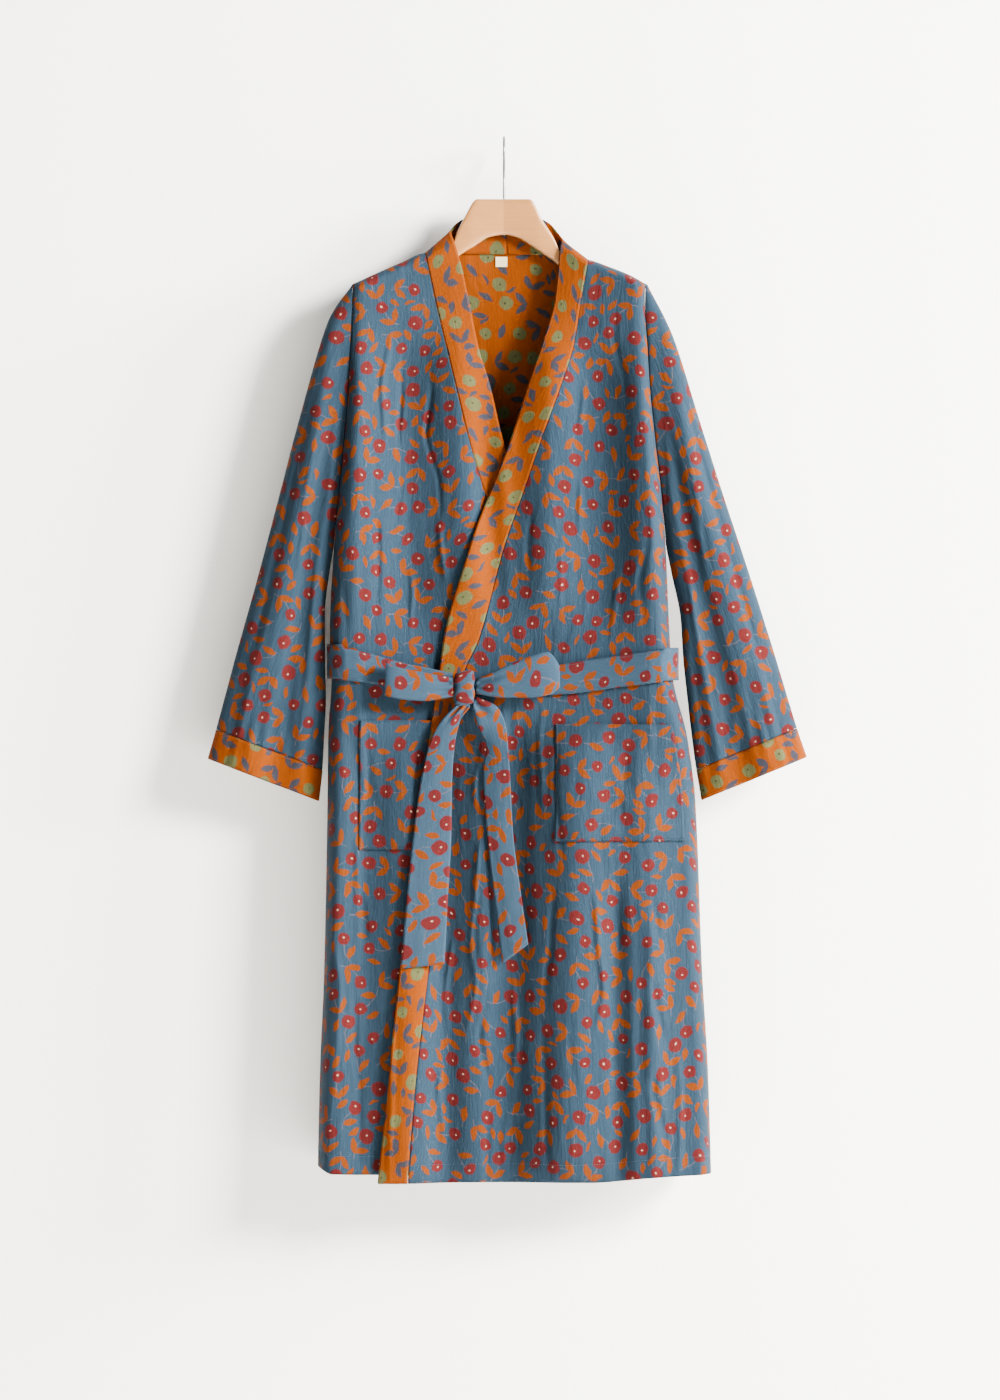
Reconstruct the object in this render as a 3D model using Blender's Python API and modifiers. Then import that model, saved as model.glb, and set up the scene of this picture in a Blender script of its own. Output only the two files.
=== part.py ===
"""A kimono robe tied with its own belt and hung on a wooden hanger.

Lengths are in millimetres until a mesh is made. A drop is a distance below the top of the hook, so
z is minus the drop. The front faces -Y, and the wearer's right side is at -X.
"""
import math

import bpy
import numpy as np
from mathutils import Vector

MM = 0.001

# Cloth
WALL = 1.6
FOLDED_WALL = 2.4
SEAM_GAP = 0.3
HALF_SEAM = 1.0
BAND_GAP = 0.7
SLEEVE_GAP = 0.7
OVERLAP = 7.0
SHOULDER_ROUND = 9.5
SIDE_ROUND = 16.0
UNDERARM = 490.0
ARMHOLE_DEPTH = 13.0
YOKE = 300.0
HEM = 1250.0
WAIST = 637.0
BELT_PRESS = 0.9
BELT_REACH = 60.0
FOLD_FADE = 90.0
HEM_TURN = 110.0

# Hanger and hook
ARM_SPAN = 175.0
ARM_SWEEP = 20.0
ARM_THICKNESS = 12.0
WIRE = 3.0
CROOK = 18.5
CROOK_END = 210
STEM = 16.0
HANGER_TOP = 73.0


def table(columns, *rows):
    """Short table as a dictionary of its named columns."""
    return dict(zip(columns.split(), np.array(rows, dtype=float).T))


def smooth(value, keys, values):
    """Height at value of a soft curve through the points of two columns, level past both ends."""
    keys = np.asarray(keys, dtype=float)
    values = np.asarray(values, dtype=float)
    steep = np.diff(values) / np.diff(keys)
    both = steep[:-1] * steep[1:]
    inner = np.where(both > 0, 2 * both / np.where(both > 0, steep[:-1] + steep[1:], 1), 0)
    slopes = np.concatenate([steep[:1], inner, steep[-1:]])
    value = np.clip(value, keys[0], keys[-1])
    low = np.clip(np.searchsorted(keys, value, side="right") - 1, 0, len(keys) - 2)
    width = keys[low + 1] - keys[low]
    t = (value - keys[low]) / width
    start = (1 + 2 * t) * (1 - t) ** 2 * values[low] + t * (1 - t) ** 2 * width * slopes[low]
    end = t**2 * (3 - 2 * t) * values[low + 1] + t**2 * (t - 1) * width * slopes[low + 1]
    return start + end


def step(value, start, end):
    """Soft step from 0 at start to 1 at end."""
    t = np.clip((value - start) / (end - start), 0, 1)
    return t * t * (3 - 2 * t)


def round_over(distance, radius):
    """Height of a quarter circle of height 1 at a distance from its edge."""
    t = 1 - np.clip(distance / radius, 0, 1)
    return np.sqrt(1 - t * t)


# Edges of the two fronts in the front view. The right front lies under, the left front over.
FRONTS = table(
    "drop right_side right_seam right_edge left_edge left_seam left_side",
    (138, -181, -95, -60, 68, 103, 172),
    (200, -182, -82, -41, 60, 92, 169),
    (250, -184, -70, -31, 45, 84, 172),
    (300, -186, -58, -16, 28, 68, 175),
    (360, -191, -43, -2, 9, 46, 181),
    (430, -198, -22, 22, -18, 22, 189),
    (490, -204, 2, 42, -40, 1, 194),
    (600, -209, 32, 73, -72, -29, 199),
    (650, -207, 53, 84, -79, -50, 203),
    (720, -211, 65, 93, -89, -60, 220),
    (800, -212, 72, 103, -98, -68, 230),
    (1000, -216, 95, 130, -125, -90, 238),
    (1120, -221, 109, 142, -137, -104, 245),
    (1250, -224, 120, 156, -151, -115, 249),
)
# Top line of the cloth: shoulder seams, with the back neck between them
TOP_LINE = table(
    "x drop",
    (-181, 176),
    (-151, 162),
    (-122, 149),
    (-95, 138),
    (-50, 137),
    (50, 138),
    (101, 146),
    (127, 155),
    (152, 165.5),
    (172, 177),
)
NECK_RIGHT = -95.0
NECK_LEFT = 101.0
HEM_LINES = {
    "right": table("x drop", (-224, 1234), (-205, 1243), (120, 1246), (156, 1246)),
    "left": table("x drop", (-151, 1255), (-29, 1253), (104, 1253), (178, 1247), (249, 1243)),
    "back": table("x drop", (-224, 1232), (-200, 1240), (230, 1240), (249, 1234)),
}
# How far the outer faces of the fronts and the back stand from the hanger's plane
DEPTHS = table(
    "drop front back",
    (138, 9.5, 9.5),
    (200, 13, 12),
    (250, 17, 16),
    (350, 24, 22),
    (490, 28, 26),
    (637, 27, 25),
    (750, 31, 29),
    (900, 35, 32),
    (1250, 40, 36),
)
# Largest folds: a soft ridge that leans from x_top to x_low, valleys with a height below zero
FOLD_COLUMNS = "top low x_top x_low width height"
FRONT_FOLDS = table(
    FOLD_COLUMNS,
    (240, 610, 62, 42, 24, 6),
    (220, 640, 118, 122, 28, -7),
    (670, 1300, 14, 8, 24, -7),
    (670, 1300, 58, 62, 26, 7),
    (680, 1300, 130, 136, 26, -7),
    (700, 1300, 178, 188, 24, 6),
    (690, 1300, -52, -82, 20, 5),
    (220, 620, -160, -170, 24, 5),
    (220, 640, -112, -100, 26, -7),
    (180, 560, -76, -46, 20, 7),
    (300, 620, -30, -14, 18, -5),
    (690, 1300, -186, -196, 20, 4),
    (690, 1300, -150, -146, 22, -5),
)
BACK_FOLDS = table(
    FOLD_COLUMNS,
    (220, 1300, -150, -165, 26, 3),
    (260, 1300, -100, -105, 28, -3),
    (240, 1300, -48, -58, 26, 3),
    (300, 1300, 4, -6, 28, -3),
    (240, 1300, 55, 60, 26, 3),
    (260, 1300, 104, 118, 28, -3),
    (220, 1300, 148, 176, 26, 3),
)

ROUND_ANGLES = np.radians((0, 30, 60, 90))
SIDE_STEPS = SIDE_ROUND * (1 - np.cos(ROUND_ANGLES))
SHOULDER_STEPS = SHOULDER_ROUND * (1 - np.cos(ROUND_ANGLES))
YOKE_PARTS = (0.25, 0.5, 0.75)
CHEST_LEVELS = (300, 350, 400, 445, 490, 545, 600, 637)
SKIRT_LEVELS = (910, 980, 1050, 1120, 1190, 1250)
LEVELS = {
    "right": (*CHEST_LEVELS, 668, 700, 750, 800, 853, *SKIRT_LEVELS),
    "left": (*CHEST_LEVELS, 668, 706, 752, 798, 843, *SKIRT_LEVELS),
    "back": (*CHEST_LEVELS, 680, 750, 830, *SKIRT_LEVELS),
}
FLAT_COLUMNS = {"right": 12, "left": 13}


def hanger_plane(x):
    """Y of the hanger's curved middle plane, whose arms sweep forward."""
    return -ARM_SWEEP * np.clip(np.abs(x) / ARM_SPAN, 0, 1) ** 2


def edge_x(column, drop):
    """X of one of the front edges at a drop."""
    return smooth(drop, FRONTS["drop"], FRONTS[column])


def top_drop(x):
    """Drop of the shoulder seam or back neck at x."""
    return smooth(x, TOP_LINE["x"], TOP_LINE["drop"])


def row_drops(start, panel, x_low):
    """Drops of a panel's rows on a thread of cloth that starts at one drop and ends at the hem."""
    near = start + SHOULDER_STEPS
    yoke = near[-1] + (YOKE - near[-1]) * np.array(YOKE_PARTS)
    levels = np.array(LEVELS[panel], dtype=float)
    hem = HEM_LINES[panel]
    levels += (smooth(x_low, hem["x"], hem["drop"]) - HEM) * step(levels, HEM - HEM_TURN, HEM)
    return np.concatenate([near, yoke, levels])


def folds(x, drop, rows):
    """Forward height of all the folds of a table, pressed flat under the belt."""
    height = np.zeros(np.broadcast(x, drop).shape)
    for top, low, x_top, x_low, width, rise in zip(*rows.values()):
        ridge = x_top + (x_low - x_top) * (drop - top) / (low - top)
        across = 1 - step(np.abs(x - ridge), 0, width)
        along = step(drop, top, top + FOLD_FADE) * (1 - step(drop, low - FOLD_FADE, low))
        height = height + rise * across * along
    return height * (1 - BELT_PRESS * np.exp(-(((drop - WAIST) / BELT_REACH) ** 2)))


def armhole_edge(drop, tip):
    """Distance of an armhole's edge from the hanger's plane, nothing below the underarm."""
    t = np.clip((drop - tip) / (UNDERARM - tip), 0, 1)
    return HALF_SEAM + ARMHOLE_DEPTH * np.sqrt(np.clip(1 - (2 * t - 1) ** 2, 0, 1))


def front_y(x, drop, side_x, tip, over):
    """Y of the outer face of a front, with its soft edge at the side and over the shoulder."""
    flat = smooth(drop, DEPTHS["drop"], DEPTHS["front"]) + OVERLAP * over
    flat = HALF_SEAM + (flat + folds(x, drop, FRONT_FOLDS)) * round_over(drop - top_drop(x), SHOULDER_ROUND)
    edge = armhole_edge(drop, tip)
    return hanger_plane(x) - edge - (flat - edge) * round_over(np.abs(x - side_x), SIDE_ROUND)


def front_grid(panel, over):
    """Points of a front panel, rows from shoulder to hem, columns from side to band seam."""
    inward = 1 if panel == "right" else -1
    tip_x = TOP_LINE["x"][0 if panel == "right" else -1]
    neck_x = NECK_RIGHT if panel == "right" else NECK_LEFT
    tip = top_drop(tip_x)
    flat_parts = np.linspace(0, 1, FLAT_COLUMNS[panel] + 1)
    columns = []
    low_side = edge_x(f"{panel}_side", HEM)
    low_seam = edge_x(f"{panel}_seam", HEM)
    for index in range(len(SIDE_STEPS) + FLAT_COLUMNS[panel]):
        if index < len(SIDE_STEPS):
            part = 0.0
            inset = SIDE_STEPS[index]
        else:
            part = flat_parts[index - len(SIDE_STEPS) + 1]
            inset = SIDE_ROUND
        top_x = tip_x + inward * inset + (neck_x - tip_x - inward * inset) * part
        low_x = low_side + inward * inset + (low_seam - low_side - inward * inset) * part
        drop = row_drops(top_drop(top_x), panel, low_x)
        side = edge_x(f"{panel}_side", drop)
        seam = edge_x(f"{panel}_seam", drop)
        side[0] = tip_x
        seam[0] = neck_x
        x = side + inward * inset + (seam - side - inward * inset) * part
        columns.append(np.stack([x, front_y(x, drop, side, tip, over), -drop], axis=1))
    return np.stack(columns, axis=1)


def back_y(x, drop, left_side, right_side):
    """Y of the outer face of the back."""
    flat = smooth(drop, DEPTHS["drop"], DEPTHS["back"]) + folds(x, drop, BACK_FOLDS)
    neck = step(x, NECK_RIGHT, NECK_RIGHT + 23) * (1 - step(x, NECK_LEFT - 23, NECK_LEFT))
    flat = HALF_SEAM + flat * np.maximum(round_over(drop - top_drop(x), SHOULDER_ROUND), neck)
    tip = np.where(x < 0, TOP_LINE["drop"][0], TOP_LINE["drop"][-1])
    edge = armhole_edge(drop, tip)
    inside = np.minimum(x - right_side, left_side - x)
    return hanger_plane(x) + edge + (flat - edge) * round_over(inside, SIDE_ROUND)


BACK_SHOULDER_COLUMNS = 3
BACK_NECK_COLUMNS = 8


def back_grid():
    """Points of the back, rows from shoulder to hem, columns from the right side to the left."""
    start = TOP_LINE["x"][0] + SIDE_ROUND
    end = TOP_LINE["x"][-1] - SIDE_ROUND
    neck = [(x - start) / (end - start) for x in (NECK_RIGHT, NECK_LEFT)]
    parts = np.concatenate([
        np.linspace(0, neck[0], BACK_SHOULDER_COLUMNS + 1)[:-1],
        np.linspace(neck[0], neck[1], BACK_NECK_COLUMNS + 1)[:-1],
        np.linspace(neck[1], 1, BACK_SHOULDER_COLUMNS + 1),
    ])
    places = [(0.0, inset - SIDE_ROUND) for inset in SIDE_STEPS[:-1]]
    places += [(part, 0.0) for part in parts]
    places += [(1.0, SIDE_ROUND - inset) for inset in SIDE_STEPS[-2::-1]]
    columns = []
    for part, shift in places:
        top_x = start + (end - start) * part + shift
        low = [edge_x("right_side", HEM) + SIDE_ROUND, edge_x("left_side", HEM) - SIDE_ROUND]
        drop = row_drops(top_drop(top_x), "back", low[0] + (low[1] - low[0]) * part + shift)
        right = edge_x("right_side", drop)
        left = edge_x("left_side", drop)
        right[0] = TOP_LINE["x"][0]
        left[0] = TOP_LINE["x"][-1]
        inner = right + SIDE_ROUND + (left - right - 2 * SIDE_ROUND) * part
        x = inner + shift
        columns.append(np.stack([x, back_y(x, drop, left, right), -drop], axis=1))
    return np.stack(columns, axis=1)


# Free edge of each band half from the back neck to where it lies flat on the chest
BAND_NECKS = {
    "right": table(
        "place x y drop",
        (-4, 0, 13, 92),
        (-2.6, -30, 12.5, 92.5),
        (-1.2, -54, 9.5, 99),
        (0, -64, -3, 111),
        (3, -60, -13, 124),
        (4, -51, -15, 155),
        (5, -41, -18, 200),
    ),
    "left": table(
        "place x y drop",
        (-4, 0, 13, 92),
        (-2.6, 28, 12.5, 92.5),
        (-1.2, 54, 9.5, 101),
        (0, 69, -3, 121),
        (3, 67, -11, 132),
        (4, 65, -17, 158),
        (5, 61, -20, 197),
    ),
}
BAND_ACROSS = (0.0, 0.33, 0.67, 1.0)


def band_grid(panel, over, front, back):
    """Points of one half of the collar and front band, rows along it, from its seam to its free edge."""
    neck = BAND_NECKS[panel]
    middle = len(SIDE_STEPS) - 1 + BACK_SHOULDER_COLUMNS + BACK_NECK_COLUMNS // 2
    half = BACK_NECK_COLUMNS // 2
    away = -1 if panel == "right" else 1
    seam = [back[0, middle + away * i] for i in range(half)] + list(front[:, -1])
    rows = []
    for index, sewn in enumerate(seam):
        place = index - half
        drop = -sewn[2]
        x = edge_x(f"{panel}_edge", drop)
        side_x = edge_x(f"{panel}_side", drop)
        free = np.array([x, front_y(x, drop, side_x, TOP_LINE["drop"][0], over), -drop])
        if place <= neck["place"][-1]:
            held = [smooth(place, neck["place"], neck[axis]) for axis in ("x", "y", "drop")]
            free = np.array([held[0], held[1], -held[2]])
        if index == 0:
            free[0] = sewn[0]
        toward = (free - sewn) / np.linalg.norm(free - sewn)
        start = sewn + toward * (BAND_GAP if place > 0 else 2 * BAND_GAP)
        if index == 0:
            start[0] += away * SEAM_GAP / 2
            free[0] += away * SEAM_GAP / 2
        line = [start + (free - start) * part for part in BAND_ACROSS]
        if place > neck["place"][-1]:
            for point in line[1:-1]:
                point[1] = front_y(point[0], -point[2], side_x, TOP_LINE["drop"][0], over)
        rows.append(line)
    return np.array(rows)


# Sleeve rings from armhole to cuff seam and on to the cuff's edge: the outer and the under point in
# the front view, y of the ring's middle, and how deep it bulges forward and back
SLEEVE_COLUMNS = "place outer_x outer_drop under_x under_drop y front back"
SLEEVES = {
    "right": table(
        SLEEVE_COLUMNS,
        (0, -181, 176, -204, 490, -20, 13, 13),
        (1, -208, 214, -210, 525, -20, 19, 18),
        (2, -244, 331, -215, 572, -19, 22, 20),
        (3, -270, 430, -215, 622, -18, 22, 20),
        (4, -295, 525, -214, 672, -17, 21, 19),
        (5, -321, 618, -216, 718, -16, 20, 18),
        (6, -346, 711, -218, 759, -15, 19, 17),
        (7, -356, 746, -222, 797, -15, 19, 17),
    ),
    "left": table(
        SLEEVE_COLUMNS,
        (0, 172, 177, 194, 490, -20, 13, 13),
        (1, 201, 234, 202, 528, -20, 19, 18),
        (2, 235, 340, 212, 578, -19, 22, 20),
        (3, 262, 425, 215, 625, -18, 22, 20),
        (4, 295, 525, 220, 672, -17, 21, 19),
        (5, 325, 620, 225, 716, -16, 20, 18),
        (6, 352, 709, 231, 759, -15, 19, 17),
        (7, 364, 744, 237, 796, -15, 19, 17),
    ),
}
# Long folds of the sleeves: where on the ring, in thirds or so of the way down its front or back
SLEEVE_FOLD_COLUMNS = "top low at_top at_low width height"
SLEEVE_FOLDS = {
    "front": table(SLEEVE_FOLD_COLUMNS, (0.8, 7.5, 0.26, 0.34, 0.2, 4), (0.6, 7.5, 0.55, 0.62, 0.2, -5)),
    "back": table(SLEEVE_FOLD_COLUMNS, (0.8, 7.5, 0.3, 0.3, 0.2, 3), (0.6, 7.5, 0.6, 0.65, 0.2, -4)),
}
CUFF_START = 6.0
CUFF_END = 7.0
CUFF_GAP = 0.02
SLEEVE_RINGS = 13
CUFF_RINGS = 3


def sleeve_folds(place, t, rows):
    """Outward height of a sleeve's folds at a place along it and a part t round half its ring."""
    height = 0.0
    for top, low, at_top, at_low, width, rise in zip(*rows.values()):
        ridge = at_top + (at_low - at_top) * (place - top) / (low - top)
        across = 1 - step(np.abs(t - ridge), 0, width)
        along = step(place, top, top + 1) * (1 - step(place, low - 0.6, low))
        height = height + rise * across * along
    return height


def sleeve_ring(side, place):
    """Points round a sleeve: down its front from the top, then up its back."""
    rows = SLEEVES[side]
    value = {name: smooth(place, rows["place"], column) for name, column in rows.items()}
    tip = rows["outer_drop"][0]
    drop = row_drops(tip, side, 0)
    drop = drop[drop <= UNDERARM]
    t = (drop - tip) / (UNDERARM - tip)
    x = value["outer_x"] + (value["under_x"] - value["outer_x"]) * t
    z = -(value["outer_drop"] + (value["under_drop"] - value["outer_drop"]) * t)
    if place == 0:
        x = edge_x(f"{side}_side", drop)
        x[0] = rows["outer_x"][0]
        x = x + np.sign(x) * SLEEVE_GAP
    middle = value["y"]
    if place < 1:
        middle = hanger_plane(x) * (1 - place) + middle * place
    bulge = np.sqrt(np.clip(1 - (2 * t - 1) ** 2, 0, 1))
    front = middle - value["front"] * bulge - sleeve_folds(place, t, SLEEVE_FOLDS["front"])
    back = middle + value["back"] * bulge + sleeve_folds(place, t, SLEEVE_FOLDS["back"])
    front_half = np.stack([x, front, z], axis=1)
    back_half = np.stack([x, back, z], axis=1)[-2:0:-1]
    return np.concatenate([front_half, back_half])


# Ribbons of the tied belt: the two edges in the front view and how far they stand before the front
RIBBON_COLUMNS = "x1 drop1 lift1 x2 drop2 lift2"
RIBBONS = {
    "bow_loop_right": table(
        RIBBON_COLUMNS,
        (-60.8, 649, 15, -60.8, 672, 15),
        (-95, 643, 21, -95, 677, 19),
        (-124, 637, 21, -128, 674, 19),
        (-141, 631, 16, -143, 669, 15),
        (-139, 629, 8, -140, 664, 8),
        (-110, 634, 6, -110, 662, 7),
        (-61.5, 644, 9, -61.5, 666, 9),
    ),
    "bow_loop_left": table(
        RIBBON_COLUMNS,
        (-33.6, 651, 14.5, -33.6, 668, 14.5),
        (0, 636, 21, -2, 673, 20),
        (30, 624, 22, 30, 673, 20),
        (52, 618, 19, 55, 669, 18),
        (67, 636, 13, 67, 660, 13),
        (53, 633, 5, 53, 662, 6),
        (28, 636, 5, 28, 663, 6),
        (-32, 649, 9, -32, 666, 9),
    ),
    "belt_end_right": table(
        RIBBON_COLUMNS,
        (-58, 682, 14, -41, 682, 14),
        (-75, 700, 11, -51, 697, 12),
        (-89, 728, 7, -58, 724, 8),
        (-100, 775, 5, -62, 772, 6),
        (-109, 840, 4, -63, 840, 5),
        (-116, 910, 4, -67, 910, 4),
        (-124, 997, 4, -71, 991, 4),
    ),
    "belt_end_left": table(
        RIBBON_COLUMNS,
        (-38.5, 684.5, 12, -32.8, 671, 11),
        (-32, 704, 13, -8, 684, 13),
        (-27, 716, 10, 2, 706, 12),
        (-21, 732, 8, 5, 734, 13),
        (-25, 762, 5, 7, 762, 11),
        (-21, 830, 4, 11, 836, 8),
        (-11, 914, 4, 21, 912, 7),
        (-2, 991, 4, 29, 968, 6),
    ),
}
RIBBON_STANDOFF = 6.0
RIBBON_STATIONS = {"bow_loop_right": 17, "bow_loop_left": 17, "belt_end_right": 15, "belt_end_left": 17}


def ribbon_grid(name, across=3):
    """Points of a ribbon laid before the fronts, rows along it, columns over its width."""
    rows = RIBBONS[name]
    places = np.arange(len(rows["x1"]), dtype=float)
    grid = []
    for place in np.linspace(0, places[-1], RIBBON_STATIONS[name]):
        value = {key: float(smooth(place, places, column)) for key, column in rows.items()}
        ends = []
        for i in (1, 2):
            x, drop = value[f"x{i}"], value[f"drop{i}"]
            y = smooth(drop, DEPTHS["drop"], -DEPTHS["front"]) - OVERLAP + hanger_plane(x)
            ends.append(np.array([x, y - RIBBON_STANDOFF - value[f"lift{i}"], -drop]))
        grid.append([ends[0] + (ends[1] - ends[0]) * part for part in np.linspace(0, 1, across)])
    return np.array(grid)


# Belt round the waist: its edges along the front's right part, the back and the front's left part
BELT_EDGES = {
    "right": table("x top low", (-212, 609, 650), (-165, 619, 655), (-110, 634, 664), (-62, 645, 668)),
    "back": table("x top low", (-212, 609, 650), (0, 612, 656), (206, 613, 652)),
    "left": table(
        "x top low", (-33, 651, 669), (10, 647, 671), (69, 633, 669), (150, 621, 659), (206, 613, 652)
    ),
}
BELT_STOPS = (-61.1, -33.9)
LEFT_DIP = 23.0
BELT_STANDOFF = 3.0
BELT_OVER_STANDOFF = 4.2
BELT_CLIMBS = {"right": (-112, -84), "left": (20, 33)}


def belt_path():
    """Plan of the belt from the knot round the back to the knot again, with each leg's name."""
    right = edge_x("right_side", WAIST) + SIDE_ROUND
    left = edge_x("left_side", WAIST + LEFT_DIP) - SIDE_ROUND
    front = smooth(WAIST, DEPTHS["drop"], DEPTHS["front"]) + FOLDED_WALL + BELT_STANDOFF
    back = smooth(WAIST, DEPTHS["drop"], DEPTHS["back"]) + FOLDED_WALL + BELT_STANDOFF
    reach = SIDE_ROUND + FOLDED_WALL + BELT_STANDOFF
    angles = np.radians((30, 60, 90, 120, 150))
    path = []
    for x in np.linspace(BELT_STOPS[0], right, 10):
        path.append(("right", x, -front - (OVERLAP + BELT_OVER_STANDOFF) * step(x, *BELT_CLIMBS["right"])))
    for angle in angles:
        depth = front if angle < math.pi / 2 else back
        path.append(("back", right - reach * math.sin(angle), -depth * math.cos(angle)))
    for x in np.linspace(right, left, 19):
        path.append(("back", x, back))
    for angle in angles[::-1]:
        depth = front + OVERLAP if angle < math.pi / 2 else back
        path.append(("back", left + reach * math.sin(angle), -depth * math.cos(angle)))
    for x in np.linspace(left, BELT_STOPS[1], 13):
        path.append(("left", x, -front - OVERLAP - BELT_OVER_STANDOFF * step(-x, *BELT_CLIMBS["left"])))
    return path


def belt_grid():
    """Points of the belt round the waist, rows along it."""
    rows = []
    for leg, x, y in belt_path():
        edges = BELT_EDGES[leg]
        top = smooth(x, edges["x"], edges["top"])
        low = smooth(x, edges["x"], edges["low"])
        y = y + hanger_plane(x)
        rows.append([(x, y, -(top + (low - top) * part)) for part in (0, 0.5, 1)])
    return np.array(rows)


def normals_of(grid):
    """Unit normals of a grid of points."""
    along = np.gradient(grid, axis=0)
    across = np.gradient(grid, axis=1)
    normal = np.cross(along, across)
    return normal / np.linalg.norm(normal, axis=2, keepdims=True)


# Patch pockets: the columns and levels of the front panel that their edges follow
POCKETS = {"right": (1, 8, 700, 853), "left": (0, 7, 706, 843)}
POCKET_GAP = 0.4


def pocket_grid(panel, front):
    """Points of a pocket, made from the front panel's own points moved out."""
    first, last, top, low = POCKETS[panel]
    levels = list(LEVELS[panel])
    offset = len(SHOULDER_STEPS) + len(YOKE_PARTS)
    rows = slice(offset + levels.index(top), offset + levels.index(low) + 1)
    columns = slice(len(SIDE_STEPS) - 1 + first, len(SIDE_STEPS) + last)
    outward = normals_of(front)
    outward *= -np.sign(outward[:, -1:, 1:2])
    return (front + outward * (WALL + POCKET_GAP))[rows, columns]


def new_object(name, mesh, material, parts):
    """Named object of a mesh in the collection of parts."""
    mesh.name = name
    mesh.materials.append(material)
    made = bpy.data.objects.new(name, mesh)
    parts.objects.link(made)
    return made


def grid_mesh(grid, closed=False, flip=False, capped=False):
    """Mesh of quads over a grid of points, closed round its columns for a tube, its ends capped."""
    rows, columns = grid.shape[:2]
    faces = []
    for i in range(rows - 1):
        for j in range(columns if closed else columns - 1):
            k = (j + 1) % columns
            faces.append((i * columns + j, i * columns + k, (i + 1) * columns + k, (i + 1) * columns + j))
    if capped:
        faces.append(tuple(range(columns))[::-1])
        faces.append(tuple(range((rows - 1) * columns, rows * columns)))
    if flip:
        faces = [face[::-1] for face in faces]
    mesh = bpy.data.meshes.new("grid")
    mesh.from_pydata([Vector(point) * MM for point in grid.reshape(-1, 3)], [], faces)
    mesh.shade_smooth()
    return mesh


def cloth(name, grid, wall, colour, parts, closed=False, flip=False):
    """Cloth whose outer face runs through a grid of points, its wall laid inside it."""
    made = new_object(name, grid_mesh(grid, closed, flip), material(name, colour, MATT), parts)
    shell = made.modifiers.new("wall", "SOLIDIFY")
    shell.thickness = wall * MM
    shell.offset = -1
    shell.use_even_offset = True
    return made


def superellipse(value, power):
    """Cosine or sine drawn out toward the corners of a rounded square."""
    return math.copysign(abs(value) ** power, value)


# Hanger: stations along it in the front view, its top and underside
HANGER = table(
    "x top low",
    (-174, 183, 197),
    (-150, 165.4, 189),
    (-122, 151.4, 175),
    (-95, 142.2, 164),
    (-76, 142, 160),
    (-66, 135, 152),
    (-56, 112, 143),
    (-46, 92, 136),
    (-36, 75, 130),
    (-18, 73, 119),
    (0, 73, 116),
    (18, 73, 120),
    (34, 75, 130),
    (46, 98, 138),
    (60, 120, 148),
    (68, 137, 155),
    (78, 147, 166),
    (101, 150.2, 173),
    (127, 158.4, 182),
    (150, 167.8, 192),
    (160, 175, 195),
)
HANGER_CORNER = 0.62


def hanger_mesh():
    """Hanger as one loft of rounded sections, closed at both tips."""
    grid = []
    for x, top, low in zip(HANGER["x"], HANGER["top"], HANGER["low"]):
        middle, half = (top + low) / 2, (low - top) / 2
        ring = []
        for angle in np.radians(np.arange(0, 360, 30)):
            y = superellipse(math.sin(angle), HANGER_CORNER) * ARM_THICKNESS / 2
            z = superellipse(math.cos(angle), HANGER_CORNER) * half - middle
            ring.append((x, hanger_plane(x) + y, z))
        grid.append(ring)
    return grid_mesh(np.array(grid), closed=True, flip=True, capped=True)


def hook_mesh():
    """Wire hook: a straight stem, a soft bend back, and the crook over the top."""
    radius = WIRE / 2
    centre = -CROOK + radius
    bend = -HANGER_TOP + STEM
    path = [(0.0, -HANGER_TOP + SEAM_GAP), (0.0, bend)]
    for angle in np.radians((20, 40, 60, 80)):
        path.append((CROOK * (1 - math.cos(angle)), bend + (centre - bend) * angle / (math.pi / 2)))
    for angle in np.radians(np.arange(0, CROOK_END + 1, 15)):
        path.append((CROOK * math.cos(angle), centre + CROOK * math.sin(angle)))
    curve = bpy.data.curves.new("hook", "CURVE")
    curve.dimensions = "3D"
    curve.bevel_depth = radius * MM
    curve.bevel_resolution = 2
    curve.use_fill_caps = True
    line = curve.splines.new("POLY")
    line.points.add(len(path) - 1)
    for point, (y, z) in zip(line.points, path):
        point.co = (0, y * MM, z * MM, 1)
    wire = bpy.data.objects.new("wire", curve)
    bpy.context.scene.collection.objects.link(wire)
    mesh = bpy.data.meshes.new_from_object(wire.evaluated_get(bpy.context.evaluated_depsgraph_get()))
    bpy.data.objects.remove(wire)
    mesh.shade_smooth()
    return mesh


# Knot: rounded block that the belt's turns are drawn into
KNOT_MIDDLE = (-47.5, 661.5)
KNOT_SIZE = (27.6, 22.0, 42.0)
KNOT_STANDOFF = 16.6


def knot_mesh():
    """Knot as a rounded block."""
    x, drop = KNOT_MIDDLE
    y = -float(smooth(drop, DEPTHS["drop"], DEPTHS["front"])) - OVERLAP - KNOT_STANDOFF + hanger_plane(x)
    grid = []
    for tilt in np.radians(np.arange(-67.5, 68, 22.5)):
        reach = superellipse(math.cos(tilt), 0.5)
        z = superellipse(math.sin(tilt), 0.8) * KNOT_SIZE[2] / 2 - drop
        ring = []
        for turn in np.radians(np.arange(0, 360, 30)):
            across = superellipse(math.cos(turn), 0.6) * reach * KNOT_SIZE[0] / 2
            deep = superellipse(math.sin(turn), 0.6) * reach * KNOT_SIZE[1] / 2
            ring.append((x + across, y + deep, z))
        grid.append(ring)
    return grid_mesh(np.array(grid), closed=True, capped=True)


# Label inside the back neck
LABEL_SIZE = (14.0, 12.0)
LABEL_WALL = 0.8
LABEL_TOP = 142.0
LABEL_START = -10.0


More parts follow.
